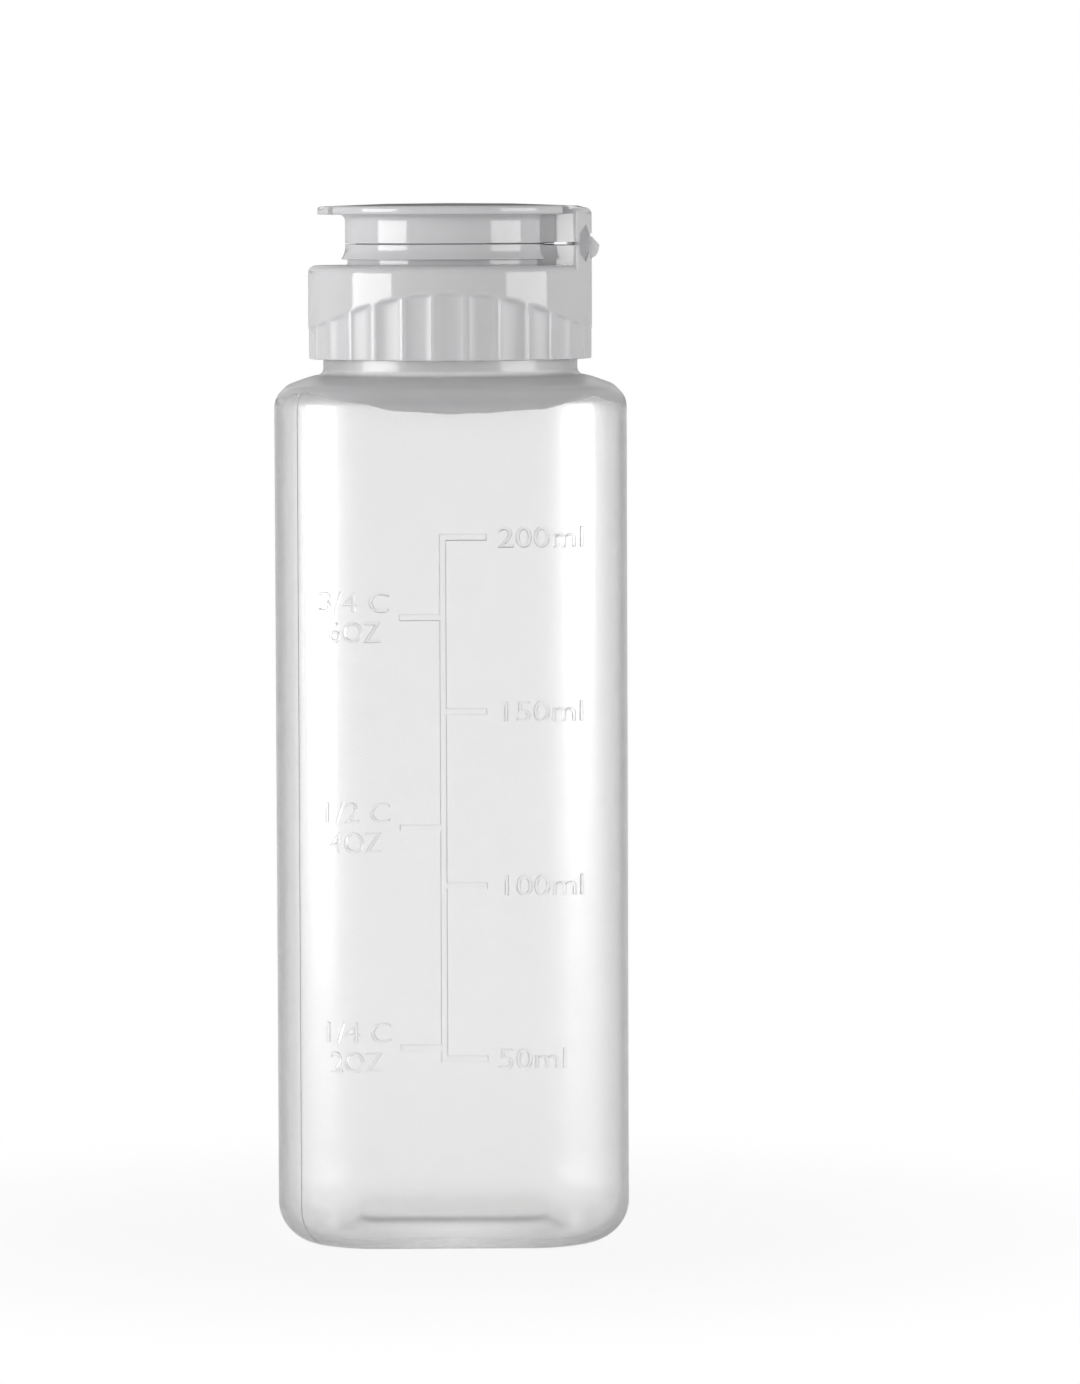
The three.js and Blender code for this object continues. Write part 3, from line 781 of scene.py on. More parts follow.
def thread(name, radius, height, start, inward):
    """A ridge round the axis, rising anticlockwise, that stands out from a radius or inwards from it."""
    steps = 120
    sign = -1 if inward else 1
    rows = []
    for i in range(steps + 1):
        share = i / steps
        turn = 2 * math.pi * THREAD_TURNS * share
        fade = min(1.0, share / THREAD_FADE, (1 - share) / THREAD_FADE)
        tall = height * math.sin(math.pi / 2 * fade)
        middle = start + PITCH * THREAD_TURNS * share
        section = [
            (-THREAD_SINK, -THREAD_FOOT), (tall, -THREAD_CREST),
            (tall, THREAD_CREST), (-THREAD_SINK, THREAD_FOOT),
        ]
        row = []
        for out, up in section:
            reach = radius + sign * out
            row.append((reach * math.cos(turn), reach * math.sin(turn), middle + up))
        rows.append(row)
    return as_object(name, capped(rows))


combine(shell, thread("neck_thread", NECK_RADIUS, THREAD_HEIGHT, THREAD_LOW + PITCH / 4, False), "UNION")
print("the thread ends", round(LIP_TOP - THREAD_LOW - PITCH * (THREAD_TURNS + 0.25), 2), "mm below the lip")

# %% [markdown]
# ## The measuring scale
# The scale stands out of the front face, because it is cut as a shallow recess in the mould. A bump in the
# finish could fake it, but real edges bend the light as those of the bottle do. Each mark is a bar with
# sloping sides, sunk in the wall, and all of them are joined before they go on the shell.

# %% Measuring scale
RELIEF = 0.3
SCALE_BOTTOM = 26.3
SCALE_HEIGHT = 69.8
SCALE_LINE = -1.15  # distance of the upright line from the middle of the face
LINE_WIDTH = 0.95
MARK_LENGTH = 5.4
CUP_SHARES = [0.0215, 0.444, 0.847]


def face_depth(x):
    """How far the front face lies behind its flat part, at a distance from the middle."""
    past = max(0.0, abs(x) - (BODY_HALF - CORNER_RADIUS))
    return CORNER_RADIUS - math.sqrt(max(0.0, CORNER_RADIUS**2 - past**2))


SLOPE = 0.14  # how far the sides of a mark or figure lean out over its height


def bar(left, right, low, high):
    """A mark with sloping sides, sunk in the wall by its own height."""
    rows = []
    for depth, out in ((-RELIEF, 0.0), (RELIEF, 2 * SLOPE)):
        y = -BODY_HALF + depth
        rows.append([
            (left - out, y, low - out), (right + out, y, low - out),
            (right + out, y, high + out), (left - out, y, high + out),
        ])
    return as_object("bar", capped(rows))


def scale_lines():
    """The upright line with the marks of both scales."""
    half = LINE_WIDTH / 2 - SLOPE
    top = SCALE_BOTTOM + SCALE_HEIGHT
    lines = bar(SCALE_LINE - half, SCALE_LINE + half, SCALE_BOTTOM - half, top + half)
    for i in range(4):
        z = SCALE_BOTTOM + SCALE_HEIGHT * i / 3
        combine(lines, bar(SCALE_LINE, SCALE_LINE + half + MARK_LENGTH, z - half, z + half), "UNION")
    for share in CUP_SHARES:
        z = SCALE_BOTTOM + SCALE_HEIGHT * share
        combine(lines, bar(SCALE_LINE - half - MARK_LENGTH, SCALE_LINE, z - half, z + half), "UNION")
    return lines


combine(shell, scale_lines(), "UNION")
print("marks stand", round(SCALE_HEIGHT / 3, 2), "mm apart")

# %% [markdown]
# The numbers are plain measuring figures. Drawing each by hand would be slow, so they are set as text in
# Blender's own font, and its bevel gives them sloping sides. The size of a text isn't the height of its
# figures, so that share is measured once.

# %% Figures as text
FIGURE_HEIGHT = 2.75


def text_mesh(words, size, sink, slope, bold):
    """A bmesh of raised text in millimetres, in the text's own plane, with sloping sides."""
    curve = bpy.data.curves.new("figures", "FONT")
    curve.body = words
    curve.size = size
    curve.extrude = sink
    curve.bevel_depth = slope
    curve.bevel_resolution = 0
    curve.offset = bold - slope
    curve.resolution_u = 4
    text = bpy.data.objects.new("figures", curve)
    bpy.context.scene.collection.objects.link(text)
    bpy.context.view_layer.update()
    data = bpy.data.meshes.new_from_object(text.evaluated_get(bpy.context.evaluated_depsgraph_get()))
    bpy.data.objects.remove(text)
    mesh = bmesh.new()
    mesh.from_mesh(data)
    bmesh.ops.remove_doubles(mesh, verts=mesh.verts, dist=1e-3)
    return mesh


def figure_share():
    """Height of a figure in Blender's own font, as a share of the text size."""
    mesh = text_mesh("0", 100.0, 1.0, 0.0, 0.0)
    heights = [v.co.y for v in mesh.verts]
    mesh.free()
    return (max(heights) - min(heights)) / 100


FIGURE_SHARE = figure_share()
FIGURE_SINK = 0.02
FIGURE_BOLD = 0.05
FLAG_WIDTH = 0.75
print("a figure is", round(FIGURE_SHARE, 3), "of the text size")

# %% [markdown]
# The text is stretched to its width and pushed on to the face and round its corner, point by point. A
# Shrinkwrap modifier would flatten the sloping sides. The font's figure one is a bare stroke, so it gets a
# slanted flag.


# %% Figures on the face
def figures(words, left, width, middle_z):
    """Raised figures on the front face, from their left end, their width and the middle of their height."""
    mesh = text_mesh(words, FIGURE_HEIGHT / FIGURE_SHARE, FIGURE_SINK, SLOPE, FIGURE_BOLD)
    xs = [v.co.x for v in mesh.verts]
    low, high = min(xs), max(xs)
    steepen = RELIEF / (SLOPE + FIGURE_SINK)
    for v in mesh.verts:
        x = left + (v.co.x - low) * width / (high - low)
        z = middle_z - FIGURE_HEIGHT / 2 + v.co.y
        v.co = Vector((x, -BODY_HALF + face_depth(x) - v.co.z * steepen, z)) * MM
    return as_object("figures", mesh)


def flag(left, middle_z):
    """The slanted stroke of a figure one, whose upright starts a flag's width from the left end."""
    top = middle_z + FIGURE_HEIGHT / 2
    outline = [
        (left, top - 1.15), (left + FLAG_WIDTH + 0.2, top - 0.62), (left + FLAG_WIDTH + 0.2, top - 0.05),
        (left + FLAG_WIDTH - 0.05, top - 0.05), (left, top - 0.72),
    ]
    rows = []
    for out in (-RELIEF, RELIEF - 0.02):
        rows.append([(x, -BODY_HALF + face_depth(x) - out, z) for x, z in outline])
    return as_object("flag", capped(rows))


def write_figures(words, left, width, middle_z):
    """Joins figures to the shell, with a flag on a figure one at the start."""
    if words.startswith("1"):
        combine(shell, figures(words, left + FLAG_WIDTH, width - FLAG_WIDTH, middle_z), "UNION")
        combine(shell, flag(left, middle_z), "UNION")
    else:
        combine(shell, figures(words, left, width, middle_z), "UNION")


# %% [markdown]
# The figures are written beside their marks: millilitres on the right, cups above and ounces below on the
# left. Joining leaves faces with many sides, which shade badly, so those are cut into triangles. Then the
# bottle is whole and can be settled.


# %% Bottle with its scale
def cut_faces(piece):
    """Splits the many-sided faces that joining leaves into triangles."""
    step = piece.modifiers.new("cut", "TRIANGULATE")
    step.min_vertices = 5
    step.ngon_method = "BEAUTY"
    return apply_modifiers(piece)


CUP_LEFT, CUP_WIDTH, ABOVE_MARK = -17.7, 9.4, 2.05
OUNCE_LEFT, OUNCE_WIDTH, BELOW_MARK = -16.4, 7.0, 1.95
METRIC = [("50ml", 6.1, 9.1), ("100ml", 6.2, 11.4), ("150ml", 6.2, 11.4), ("200ml", 6.2, 11.5)]
for i, (words, left, width) in enumerate(METRIC):
    write_figures(words, left, width, SCALE_BOTTOM + SCALE_HEIGHT * i / 3)
CUPS = [("1/4 C", "2OZ"), ("1/2 C", "4OZ"), ("3/4 C", "6OZ")]
for share, (cup, ounces) in zip(CUP_SHARES, CUPS):
    z = SCALE_BOTTOM + SCALE_HEIGHT * share
    write_figures(cup, CUP_LEFT, CUP_WIDTH, z + ABOVE_MARK)
    write_figures(ounces, OUNCE_LEFT, OUNCE_WIDTH, z - BELOW_MARK)
cut_faces(shell)
settle(shell, "bottle", "bottle_body", bottle_finish)

# %% [markdown]
# ## The screw cap
# The ring of the cap has shallow grip flutes that end in an arch, high at the front and low at its sides.
# They could be cut out one by one. Here the surface is a grid whose radius dips in each flute, which keeps
# the lands between them rounded as the mould leaves them.

# %% Grip flutes
FLUTES = 28
FLUTE_DEPTH = 0.38
FLUTE_BEND = 2.6  # 2 would be an arc; more turns the flute steeper at its sides
LAND_WIDTH = 0.8
FLUTE_SHARES = (-1, -0.96, -0.88, -0.72, -0.5, -0.25, 0, 0.25, 0.5, 0.72, 0.88, 0.96, 1)
LAND_SHARES = (-0.42, -0.25, 0, 0.25, 0.42)
LAND_CROWN = 0.05


def flute_turns():
    """Directions round the ring, each with how far the surface lies in from the ring's radius there."""
    pitch = 2 * math.pi / FLUTES
    land = LAND_WIDTH / CAP_RADIUS
    found = []
    for i in range(FLUTES):
        middle = i * pitch - math.pi / 2
        for share in FLUTE_SHARES:
            dip = FLUTE_DEPTH * (1 - abs(share) ** FLUTE_BEND) + LAND_CROWN
            found.append((middle + share * (pitch - land) / 2, dip))
        for share in LAND_SHARES:
            found.append((middle + pitch / 2 + share * land / 2, 4 * LAND_CROWN * share**2))
    return found


print("directions round the ring:", len(flute_turns()))

# %% [markdown]
# The rows of the grid follow the cap's section: up the wall, over the deck, round the bead at the foot of
# the collar, over the collar and down the inside. Only the rows of the wall follow the flutes, and the
# rows near the arch run along it while the dip fades out.

# %% Ring, deck and collar
FLUTE_LOW = 3.95
FLUTE_ARCH = 5.0
# rows where a flute ends: how far above the arch, and the share of the dip that is left there
FLUTE_END = [(-1.0, 1), (-0.4, 1), (-0.2, 0.87), (-0.02, 0.5), (0.12, 0.13), (0.25, 0), (0.6, 0)]
BEAD_UNDER = DECK_TOP + 0.8  # underside of the bead at the foot of the collar
BEAD_REACH = 0.55
BEAD_FLARE = 1.6
GROOVE_DEPTH = 0.3
DECK_BORE = 7.0


def cap_ring():
    """The grid of the cap without its hinge block."""
    turns = flute_turns()

    def row(radius, level):
        found = []
        for angle, dip in turns:
            reach = radius(dip)
            found.append((reach * math.cos(angle), reach * math.sin(angle), level(angle)))
        return found

    def arch(angle):
        return RING_BOTTOM + FLUTE_LOW + FLUTE_ARCH * math.sin(angle) ** 2

    rows = [
        row(lambda dip: CAP_RADIUS - dip - 0.3, lambda a: RING_BOTTOM),
        row(lambda dip: CAP_RADIUS - dip - 0.1, lambda a: RING_BOTTOM + 0.05),
        row(lambda dip: CAP_RADIUS - dip, lambda a: RING_BOTTOM + 0.25),
    ]
    for above, share in FLUTE_END:
        rows.append(row(lambda dip: CAP_RADIUS - dip * share, lambda a: arch(a) + above))
    upper = [
        (CAP_RADIUS, DECK_TOP - 2.4, 0),
        (CAP_RADIUS, DECK_TOP, 1.2),
        (COLLAR_RADIUS - GROOVE_DEPTH, DECK_TOP, 0.2),
        (COLLAR_RADIUS - GROOVE_DEPTH, BEAD_UNDER, 0.1),
        (COLLAR_RADIUS + BEAD_REACH, BEAD_UNDER, 0.1),
        (COLLAR_RADIUS + BEAD_REACH * 0.56, BEAD_UNDER + BEAD_FLARE * 0.25, 0),
        (COLLAR_RADIUS + BEAD_REACH * 0.25, BEAD_UNDER + BEAD_FLARE * 0.5, 0),
        (COLLAR_RADIUS + BEAD_REACH * 0.06, BEAD_UNDER + BEAD_FLARE * 0.75, 0),
        (COLLAR_RADIUS, BEAD_UNDER + BEAD_FLARE, 0),
        (COLLAR_RADIUS, COLLAR_TOP, 0.15),
        (COLLAR_INNER, COLLAR_TOP, 0.15),
        (COLLAR_INNER, DECK_TOP, 0.5),
        (DECK_BORE, DECK_TOP, 0.3),
        (DECK_BORE, DECK_UNDER, 0.3),
        (CAP_INNER, DECK_UNDER, 0.4),
        (CAP_INNER, RING_BOTTOM, 0.35),
        (CAP_RADIUS - 0.6, RING_BOTTOM, 0),
    ]
    for p in rounded(upper, False, 5):
        rows.append(row(lambda dip: p.x, lambda a: p.y))
    return as_object("cap", skin(rows, closed=True))


cap = cap_ring()
print("points in the cap:", len(cap.data.vertices))

# %% [markdown]
# The hinge is moulded with the cap. A block flares out from the collar to the wall of the ring, and a
# second block on the lid stands over it. Both have the same plan, so one function makes them, trims them
# to the round envelope and rounds their edges.

# %% Hinge blocks
HINGE_SLIT = 0.38
HINGE_WAIST = 7.45
HINGE_HALF = 8.95
FLARE_START = 14.35
WING_NEAR = 3.8
WING_FAR = 8.1
WING_HALVES = [(0, 1.1), (0.45, 2.6), (1, 1.35)]  # half heights, by the share of the way out
LAND_START = 15.95  # the slit between the blocks is narrower beyond this distance from the axis
LAND_RISE = 0.14
WING_NEAR_SINK = 0.1
WING_FAR_SINK = 0.45
WING_THICKNESS = 0.35
STRAP_HALF = 3.0
STRAP_SEAT = 0.6
STRAP_RISE = 1.05
STRAP_DROP = 2.0
BLOCK_EDGE = 0.95
RIM_DROP = 0.25


def block_plan():
    """Outline of a hinge block seen from above, with its two outer corners rounded."""
    start = math.sqrt(COLLAR_INNER**2 - HINGE_WAIST**2)
    side = [(start, HINGE_WAIST, 0), (FLARE_START, HINGE_WAIST, 0)]
    wall_angle = math.asin(HINGE_HALF / CAP_RADIUS)
    turns = np.linspace(-wall_angle, wall_angle, 21)
    arc = [(CAP_RADIUS * math.cos(a), CAP_RADIUS * math.sin(a), 0) for a in turns]
    outer = [(*place[:2], 0.35) for place in (arc[0], arc[-1])]
    plan = [(x, -y, r) for x, y, r in side] + [outer[0]] + arc[1:-1] + [outer[1]] + side[::-1]
    return rounded(plan, True, 4)


print("points in a block's plan:", len(block_plan()))

# %% [markdown]
# A block is drawn upwards from its plan. The cap's block ends flat at the slit. The lid's block falls a
# little from the rim and turns over in a rounded edge, so its upper rings are trimmed ever further in.


# %% Blocks and boxes
def prism(name, outline, low, high):
    """An upright body of one outline, between two levels."""
    return as_object(name, capped([[(x, y, z) for x, y in outline] for z in (low, high)]))


def box(name, low, high):
    """An upright box between two of its corners."""
    x0, y0, z0 = low
    x1, y1, z1 = high
    return prism(name, [(x0, y0), (x1, y0), (x1, y1), (x0, y1)], z0, z1)


def hinge_block(name, low, high, top_edge):
    """A block between two levels. Its top falls outwards from the rim and turns over in a rounded edge."""
    drop = RIM_DROP if top_edge else 0
    levels = [(low, 0), (high - drop - top_edge, 0)]
    if top_edge:
        levels += [
            (high - drop - top_edge * (1 - math.sin(a)), top_edge * (1 - math.cos(a)))
            for a in np.linspace(0, math.pi / 2, 7)[1:]
        ]
        levels.append((high, CAP_RADIUS - FLANGE_RADIUS))
    rows = []
    for z, drawn in levels:
        row = []
        for x, y in block_plan():
            keep = min(1.0, (CAP_RADIUS - drawn) / math.hypot(x, y))
            row.append((x * keep, y * keep, z))
        rows.append(row)
    return soften(as_object(name, capped(rows)), 0.12, 40)


# %% [markdown]
# The wings are flat, so each pocket has a flat floor too, cut along a line across the round wall. Seen
# from the side its outline narrows towards both ends. Between the wings a recess takes the strap.


# %% Pockets
def wing_line(side):
    """The two ends of a wing's outer face seen from above, and the direction out of it."""
    near = Vector((math.sqrt(CAP_RADIUS**2 - WING_NEAR**2) - WING_NEAR_SINK, side * WING_NEAR))
    far = Vector((math.sqrt(CAP_RADIUS**2 - WING_FAR**2) - WING_FAR_SINK, side * WING_FAR))
    run = (far - near).normalized()
    return near, far, side * Vector((run.y, -run.x))


def wing_half(share):
    """Half the height of a wing's pocket, by the share of the way out from the middle."""
    return float(np.interp(share, [s for s, _ in WING_HALVES], [h for _, h in WING_HALVES]))


def wing_pocket(side):
    """What is cut out for a wing: from its floor out through the wall."""
    near, far, out = wing_line(side)
    rows = []
    for depth in (-WING_THICKNESS - 0.2, 4.0):
        row = []
        for up, shares in ((-1, WING_HALVES), (1, WING_HALVES[::-1])):
            for share, half in shares:
                place = near.lerp(far, share)
                # the pocket's side walls run straight back, so a place keeps its distance from the middle
                row.append((place.x + depth / out.x, place.y, PARTING + up * half))
        rows.append(row)
    return as_object("pocket", capped(rows))


def cut_recesses(block):
    """Cuts both pockets and the strap's recess out of a block."""
    for side in (-1, 1):
        combine(block, wing_pocket(side), "DIFFERENCE")
    seat = box(
        "seat",
        (CAP_RADIUS - STRAP_SEAT, -STRAP_HALF - 0.15, PARTING - STRAP_DROP),
        (CAP_RADIUS + 2, STRAP_HALF + 0.15, PARTING + STRAP_RISE + 0.3),
    )
    return combine(block, seat, "DIFFERENCE")


def hinge_land(low, high):
    """The raised part of a block's face at the slit."""
    return box("land", (LAND_START, -HINGE_WAIST, low), (CAP_RADIUS - 0.4, HINGE_WAIST, high))


for side in (-1, 1):
    print("ends of a wing:", [[round(v, 2) for v in end] for end in wing_line(side)[:2]])

# %% [markdown]
# The block reaches a little into the collar, so that it joins the ring without a gap. The well inside the
# collar is then cleared again, and the thread comes last.

# %% Screw cap
tower = hinge_block("tower", DECK_TOP - 1.2, PARTING - HINGE_SLIT / 2, 0)
slit_low = PARTING - HINGE_SLIT / 2
combine(tower, hinge_land(slit_low - 0.3, slit_low + LAND_RISE), "UNION")
cut_recesses(tower)
combine(cap, tower, "UNION")
well = [
    (0, DECK_TOP, 0), (COLLAR_INNER, DECK_TOP, 0),
    (COLLAR_INNER, COLLAR_TOP + 1, 0), (0, COLLAR_TOP + 1, 0),
]
combine(cap, as_object("well", turned(well, False)), "DIFFERENCE")
combine(cap, thread("cap_thread", CAP_INNER, THREAD_HEIGHT, THREAD_LOW - PITCH / 4, True), "UNION")
cut_faces(cap)
settle(cap, "cap", "screw_cap", cap_finish)

# %% [markdown]
# ## The lid
# Opposite the hinge the lid has a lip that the thumb pushes up. It could be pulled out of the disc's rim,
# but it is simpler as a piece of a wider disc, kept only over the thumb.

# %% Thumb lip
THUMB_HALF = 7.3
THUMB_REACH = 0.6


def thumb_lip():
    """A piece of a wider disc, kept only over the thumb."""
    lip_radius = FLANGE_RADIUS + THUMB_REACH
    outline = [
        (0, FLANGE_UNDER + 0.02, 0), (lip_radius, FLANGE_UNDER + 0.02, 0.15),
        (lip_radius, RIM_TOP - 0.02, 0.8), (0, RIM_TOP - 0.02, 0),
    ]
    disc = as_object("thumb", turned(outline, False))
    keep = box(
        "keep",
        (-lip_radius - 1, -THUMB_HALF, FLANGE_UNDER - 1),
        (-COLLAR_RADIUS, THUMB_HALF, RIM_TOP + 1),
    )
    return combine(disc, keep, "INTERSECT")


# %% [markdown]
# The lid is a disc with a skirt that stands on the collar, a tongue that snaps inside it, and a socket that
# holds the stopper. All of that is turned from one outline. The disc stops short of the hinge on both sides
# of the block, where the mould needs room, so two notches are cut out of it.

# %% Flip lid
SOCKET_INNER = 3.3
TONGUE_INNER = 12.0
TONGUE_OUTER = 12.75
TONGUE_DROP = 1.1
FLANGE_END = 15.25  # where the disc stops short of the hinge

lid_outline = [
    (0, CEILING, 0), (SOCKET_INNER, CEILING, 0.2), (SOCKET_INNER, CEILING - 2, 0.2),
    (SOCKET_INNER + 1, CEILING - 2, 0.2), (SOCKET_INNER + 1, CEILING, 0.3),
    (COLLAR_INNER, CEILING, 0.5), (COLLAR_INNER, SKIRT_BOTTOM + 1.8, 0.3),
    (TONGUE_INNER, SKIRT_BOTTOM + 0.9, 0.3), (TONGUE_INNER, SKIRT_BOTTOM - TONGUE_DROP, 0.15),
    (TONGUE_OUTER, SKIRT_BOTTOM - TONGUE_DROP, 0.3), (TONGUE_OUTER, SKIRT_BOTTOM, 0.1),
    (COLLAR_RADIUS, SKIRT_BOTTOM, 0.15), (COLLAR_RADIUS, FLANGE_UNDER, 0.95),
    (FLANGE_RADIUS, FLANGE_UNDER, 0.45), (FLANGE_RADIUS, RIM_TOP, 0.45),
    (FLANGE_RADIUS / 2, LID_TOP - 0.08, 6), (0, LID_TOP, 0),
]
lid = as_object("lid", turned(lid_outline, False, 200, 6))
combine(lid, thumb_lip(), "UNION")
for low, high in ((-CAP_RADIUS, -HINGE_WAIST), (HINGE_WAIST, CAP_RADIUS)):
    notch = box("notch", (FLANGE_END, low, FLANGE_UNDER + 0.01), (CAP_RADIUS, high, LID_TOP + 1))
    combine(lid, notch, "DIFFERENCE")
print("lid without its hinge block, faces", len(lid.data.polygons))

# %% [markdown]
# The lid's hinge block is cleared inside the collar's radius before it is joined, so that the tongue and the
# socket stay free. The joining may leave thin triangles, which are welded shut.

# %% Lid's hinge block
slit_high = PARTING + HINGE_SLIT / 2
rear = hinge_block("rear", slit_high, RIM_TOP, BLOCK_EDGE)
combine(rear, hinge_land(slit_high - LAND_RISE, slit_high + 0.3), "UNION")
cut_recesses(rear)
inside_lid = [
    (0, PARTING - 1, 0), (COLLAR_INNER + 0.6, PARTING - 1, 0),
    (COLLAR_INNER + 0.6, CEILING + 0.3, 0), (0, CEILING + 0.3, 0),
]
combine(rear, as_object("inside_lid", turned(inside_lid, False)), "DIFFERENCE")
combine(lid, rear, "UNION")
cut_faces(lid)
weld_slivers(lid)
settle(lid, "lid", "flip_lid", cap_finish)

# %% [markdown]
# ## The film hinge
# The wings are thin plates in their pockets, and the strap is a band folded outwards. All are joined to
# the cap below and to the lid above. A rigid piece would tear away from one of them when the lid opens, so
# these meshes are given to neither body, and are built with many rows.


# %% Hinge wings
WING_SHARES = (0.02, 0.98)  # where a wing starts and ends, as shares of its pocket
WING_PLAY = 0.06


def hinge_wing(name, side):
    """A flat plate, a little smaller than its pocket, as two grids joined round their rim."""
    near, far, out = wing_line(side)
    across, up = 12, 16
    mesh = bmesh.new()
    layers = []
    for depth in (WING_THICKNESS, 0):
        layer = []
        for i in range(across + 1):
            share = between(*WING_SHARES, i / across)
            place = near.lerp(far, share) - out * depth
            half = wing_half(share) - WING_PLAY
            column = [(place.x, place.y, PARTING + half * (2 * k / up - 1)) for k in range(up + 1)]
            layer.append([mesh.verts.new(Vector(p) * MM) for p in column])
        layers.append(layer)
    for layer in layers:
        for a, b in zip(layer, layer[1:]):
            for k in range(up):
                mesh.faces.new([a[k], a[k + 1], b[k + 1], b[k]])
    inner, outer = layers
    rim = [(0, k) for k in range(up)] + [(i, up) for i in range(across)]
    rim += [(across, k) for k in range(up, 0, -1)] + [(i, 0) for i in range(across, 0, -1)]
    for (i, k), (m, n) in zip(rim, rim[1:] + rim[:1]):
        mesh.faces.new([inner[i][k], inner[m][n], outer[m][n], outer[i][k]])
    wing = as_object(name, mesh)
    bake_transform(wing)
    return wing


for name, side in (("wing_left", -1), ("wing_right", 1)):
    settle(hinge_wing(name, side), None, "hinge_" + name, wing_painted_shade_finish)

# %% [markdown]
# On hinges of this kind the strap is a spring that snaps the lid open or shut. A bent plane with a
# thickness could do, but its nose has its own outline, which is drawn across the hinge in even rows.

# %% Centre strap
STRAP_ROWS = 12


def hinge_strap(name):
    """The folded strap: a nose that leaves the wall below the parting line and returns to it above."""
    back = CAP_RADIUS - STRAP_SEAT + 0.03
    tip = CAP_RADIUS + 1.0
    bends = [
        (back, -STRAP_DROP + 0.02, 0), (CAP_RADIUS, -STRAP_DROP + 0.02, 0), (CAP_RADIUS + 0.55, -1.7, 0.6),
        (tip - 0.12, -1.0, 0.6), (tip, -0.22, 0.25), (CAP_RADIUS + 0.02, 0.86, 0.15), (back, STRAP_RISE, 0),
    ]
    outline = rounded(bends, True, 6)
    rows = []
    for i in range(STRAP_ROWS + 1):
        y = between(-STRAP_HALF, STRAP_HALF, i / STRAP_ROWS)
        rows.append([(x, y, PARTING + z) for x, z in outline])
    strap = soften(as_object(name, capped(rows)), 0.08, 50)
    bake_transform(strap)
    return strap


settle(hinge_strap("centre_strap"), None, "hinge_centre_strap", strap_painted_light_finish)

# %% [markdown]
# ## Inside the closure
# The insert is a plug in the mouth of the bottle with a narrow nozzle, which is what the sauce comes out
# of. It is round all over, so one short outline is turned into it.

# %% Pouring insert
NOZZLE_TOP = insert_high.z / MM
NOZZLE_HEIGHT = 6.6
NOZZLE_BORE = 2.4
NOZZLE_TIP = 3.5
NOZZLE_FOOT = 5.6
FUNNEL_RADIUS = 4.4
INSERT_TOP = NOZZLE_TOP - NOZZLE_HEIGHT
INSERT_UNDER = INSERT_TOP - 1
INSERT_RADIUS = 16.9
PLUG_FOOT = insert_low.z / MM
PLUG_INNER = 14.1
PLUG_OUTER = 15.1
insert_outline = [
    (NOZZLE_BORE, INSERT_UNDER + 3, 0.5), (FUNNEL_RADIUS, INSERT_UNDER, 0.3), (PLUG_INNER, INSERT_UNDER, 0.4),
    (PLUG_INNER, PLUG_FOOT, 0.15), (PLUG_OUTER, PLUG_FOOT, 0.3), (PLUG_OUTER, INSERT_UNDER, 0.1),
    (INSERT_RADIUS, INSERT_UNDER, 0.2), (INSERT_RADIUS, INSERT_TOP, 0.2), (NOZZLE_FOOT, INSERT_TOP, 0.8),
    (NOZZLE_TIP, NOZZLE_TOP, 0.4), (NOZZLE_BORE, NOZZLE_TOP, 0.2),
]
insert = as_object("insert", turned(insert_outline, True, 128))
settle(insert, "insert", "pour_insert", insert_finish)

# %% [markdown]
# The gasket is a flat ring of soft rubber that is pressed between the insert and the deck of the cap. A
# short tube would do from afar, but it is turned from an outline too, so that its edges are rounded.

# %% Gasket
GASKET_WIDTH = 3.2
GASKET_EDGE = 0.25
gasket_foot, gasket_top = gasket_low.z / MM, gasket_high.z / MM
gasket_outer = gasket_high.x / MM
gasket_inner = gasket_outer - GASKET_WIDTH
gasket_outline = [
    (gasket_inner, gasket_foot, GASKET_EDGE), (gasket_outer, gasket_foot, GASKET_EDGE),
    (gasket_outer, gasket_top, GASKET_EDGE), (gasket_inner, gasket_top, GASKET_EDGE),
]
gasket = as_object("gasket", turned(gasket_outline, True, 128))
settle(gasket, "gasket", "neck_gasket", gasket_finish)

# %% [markdown]
# The stopper is a pin whose head sits in the lid's socket and whose end closes the nozzle. It is a piece
# of its own in softer plastic, so it isn't joined to the lid, but it rides on the same body.

# %% Stopper
PIN_RADIUS = 2.1
HEAD_RADIUS = 3.0
HEAD_UNDER = NOZZLE_TOP + 0.3
pin_low, head_top = plug_low.z / MM, plug_high.z / MM
stopper_outline = [
    (0, pin_low, 0), (PIN_RADIUS, pin_low, 0.6), (PIN_RADIUS, HEAD_UNDER, 0.2),
    (HEAD_RADIUS, HEAD_UNDER, 0.2), (HEAD_RADIUS, head_top, 0.2), (0, head_top, 0),
]
stopper = as_object("stopper", turned(stopper_outline, False, 96))
settle(stopper, "lid", "lid_plug", stopper_finish)

# %% [markdown]
# ## Studio
# A product photo keeps the camera far off and level with the cap, so that the bottle stays square. The
# camera here aims at the middle of the picture and needs no lens shift, so the other views keep the object
# in frame too.

# %% Camera
PHOTO_HEIGHT = 1384
SENSOR_HEIGHT = 36
FOCAL_PIXELS = 7341
DISTANCE = 1.0
EYE_HEIGHT = 0.140
TURN_RIGHT = math.radians(0.69)
PITCH_DOWN = math.radians(3.785)
ROLL = math.radians(-0.2)

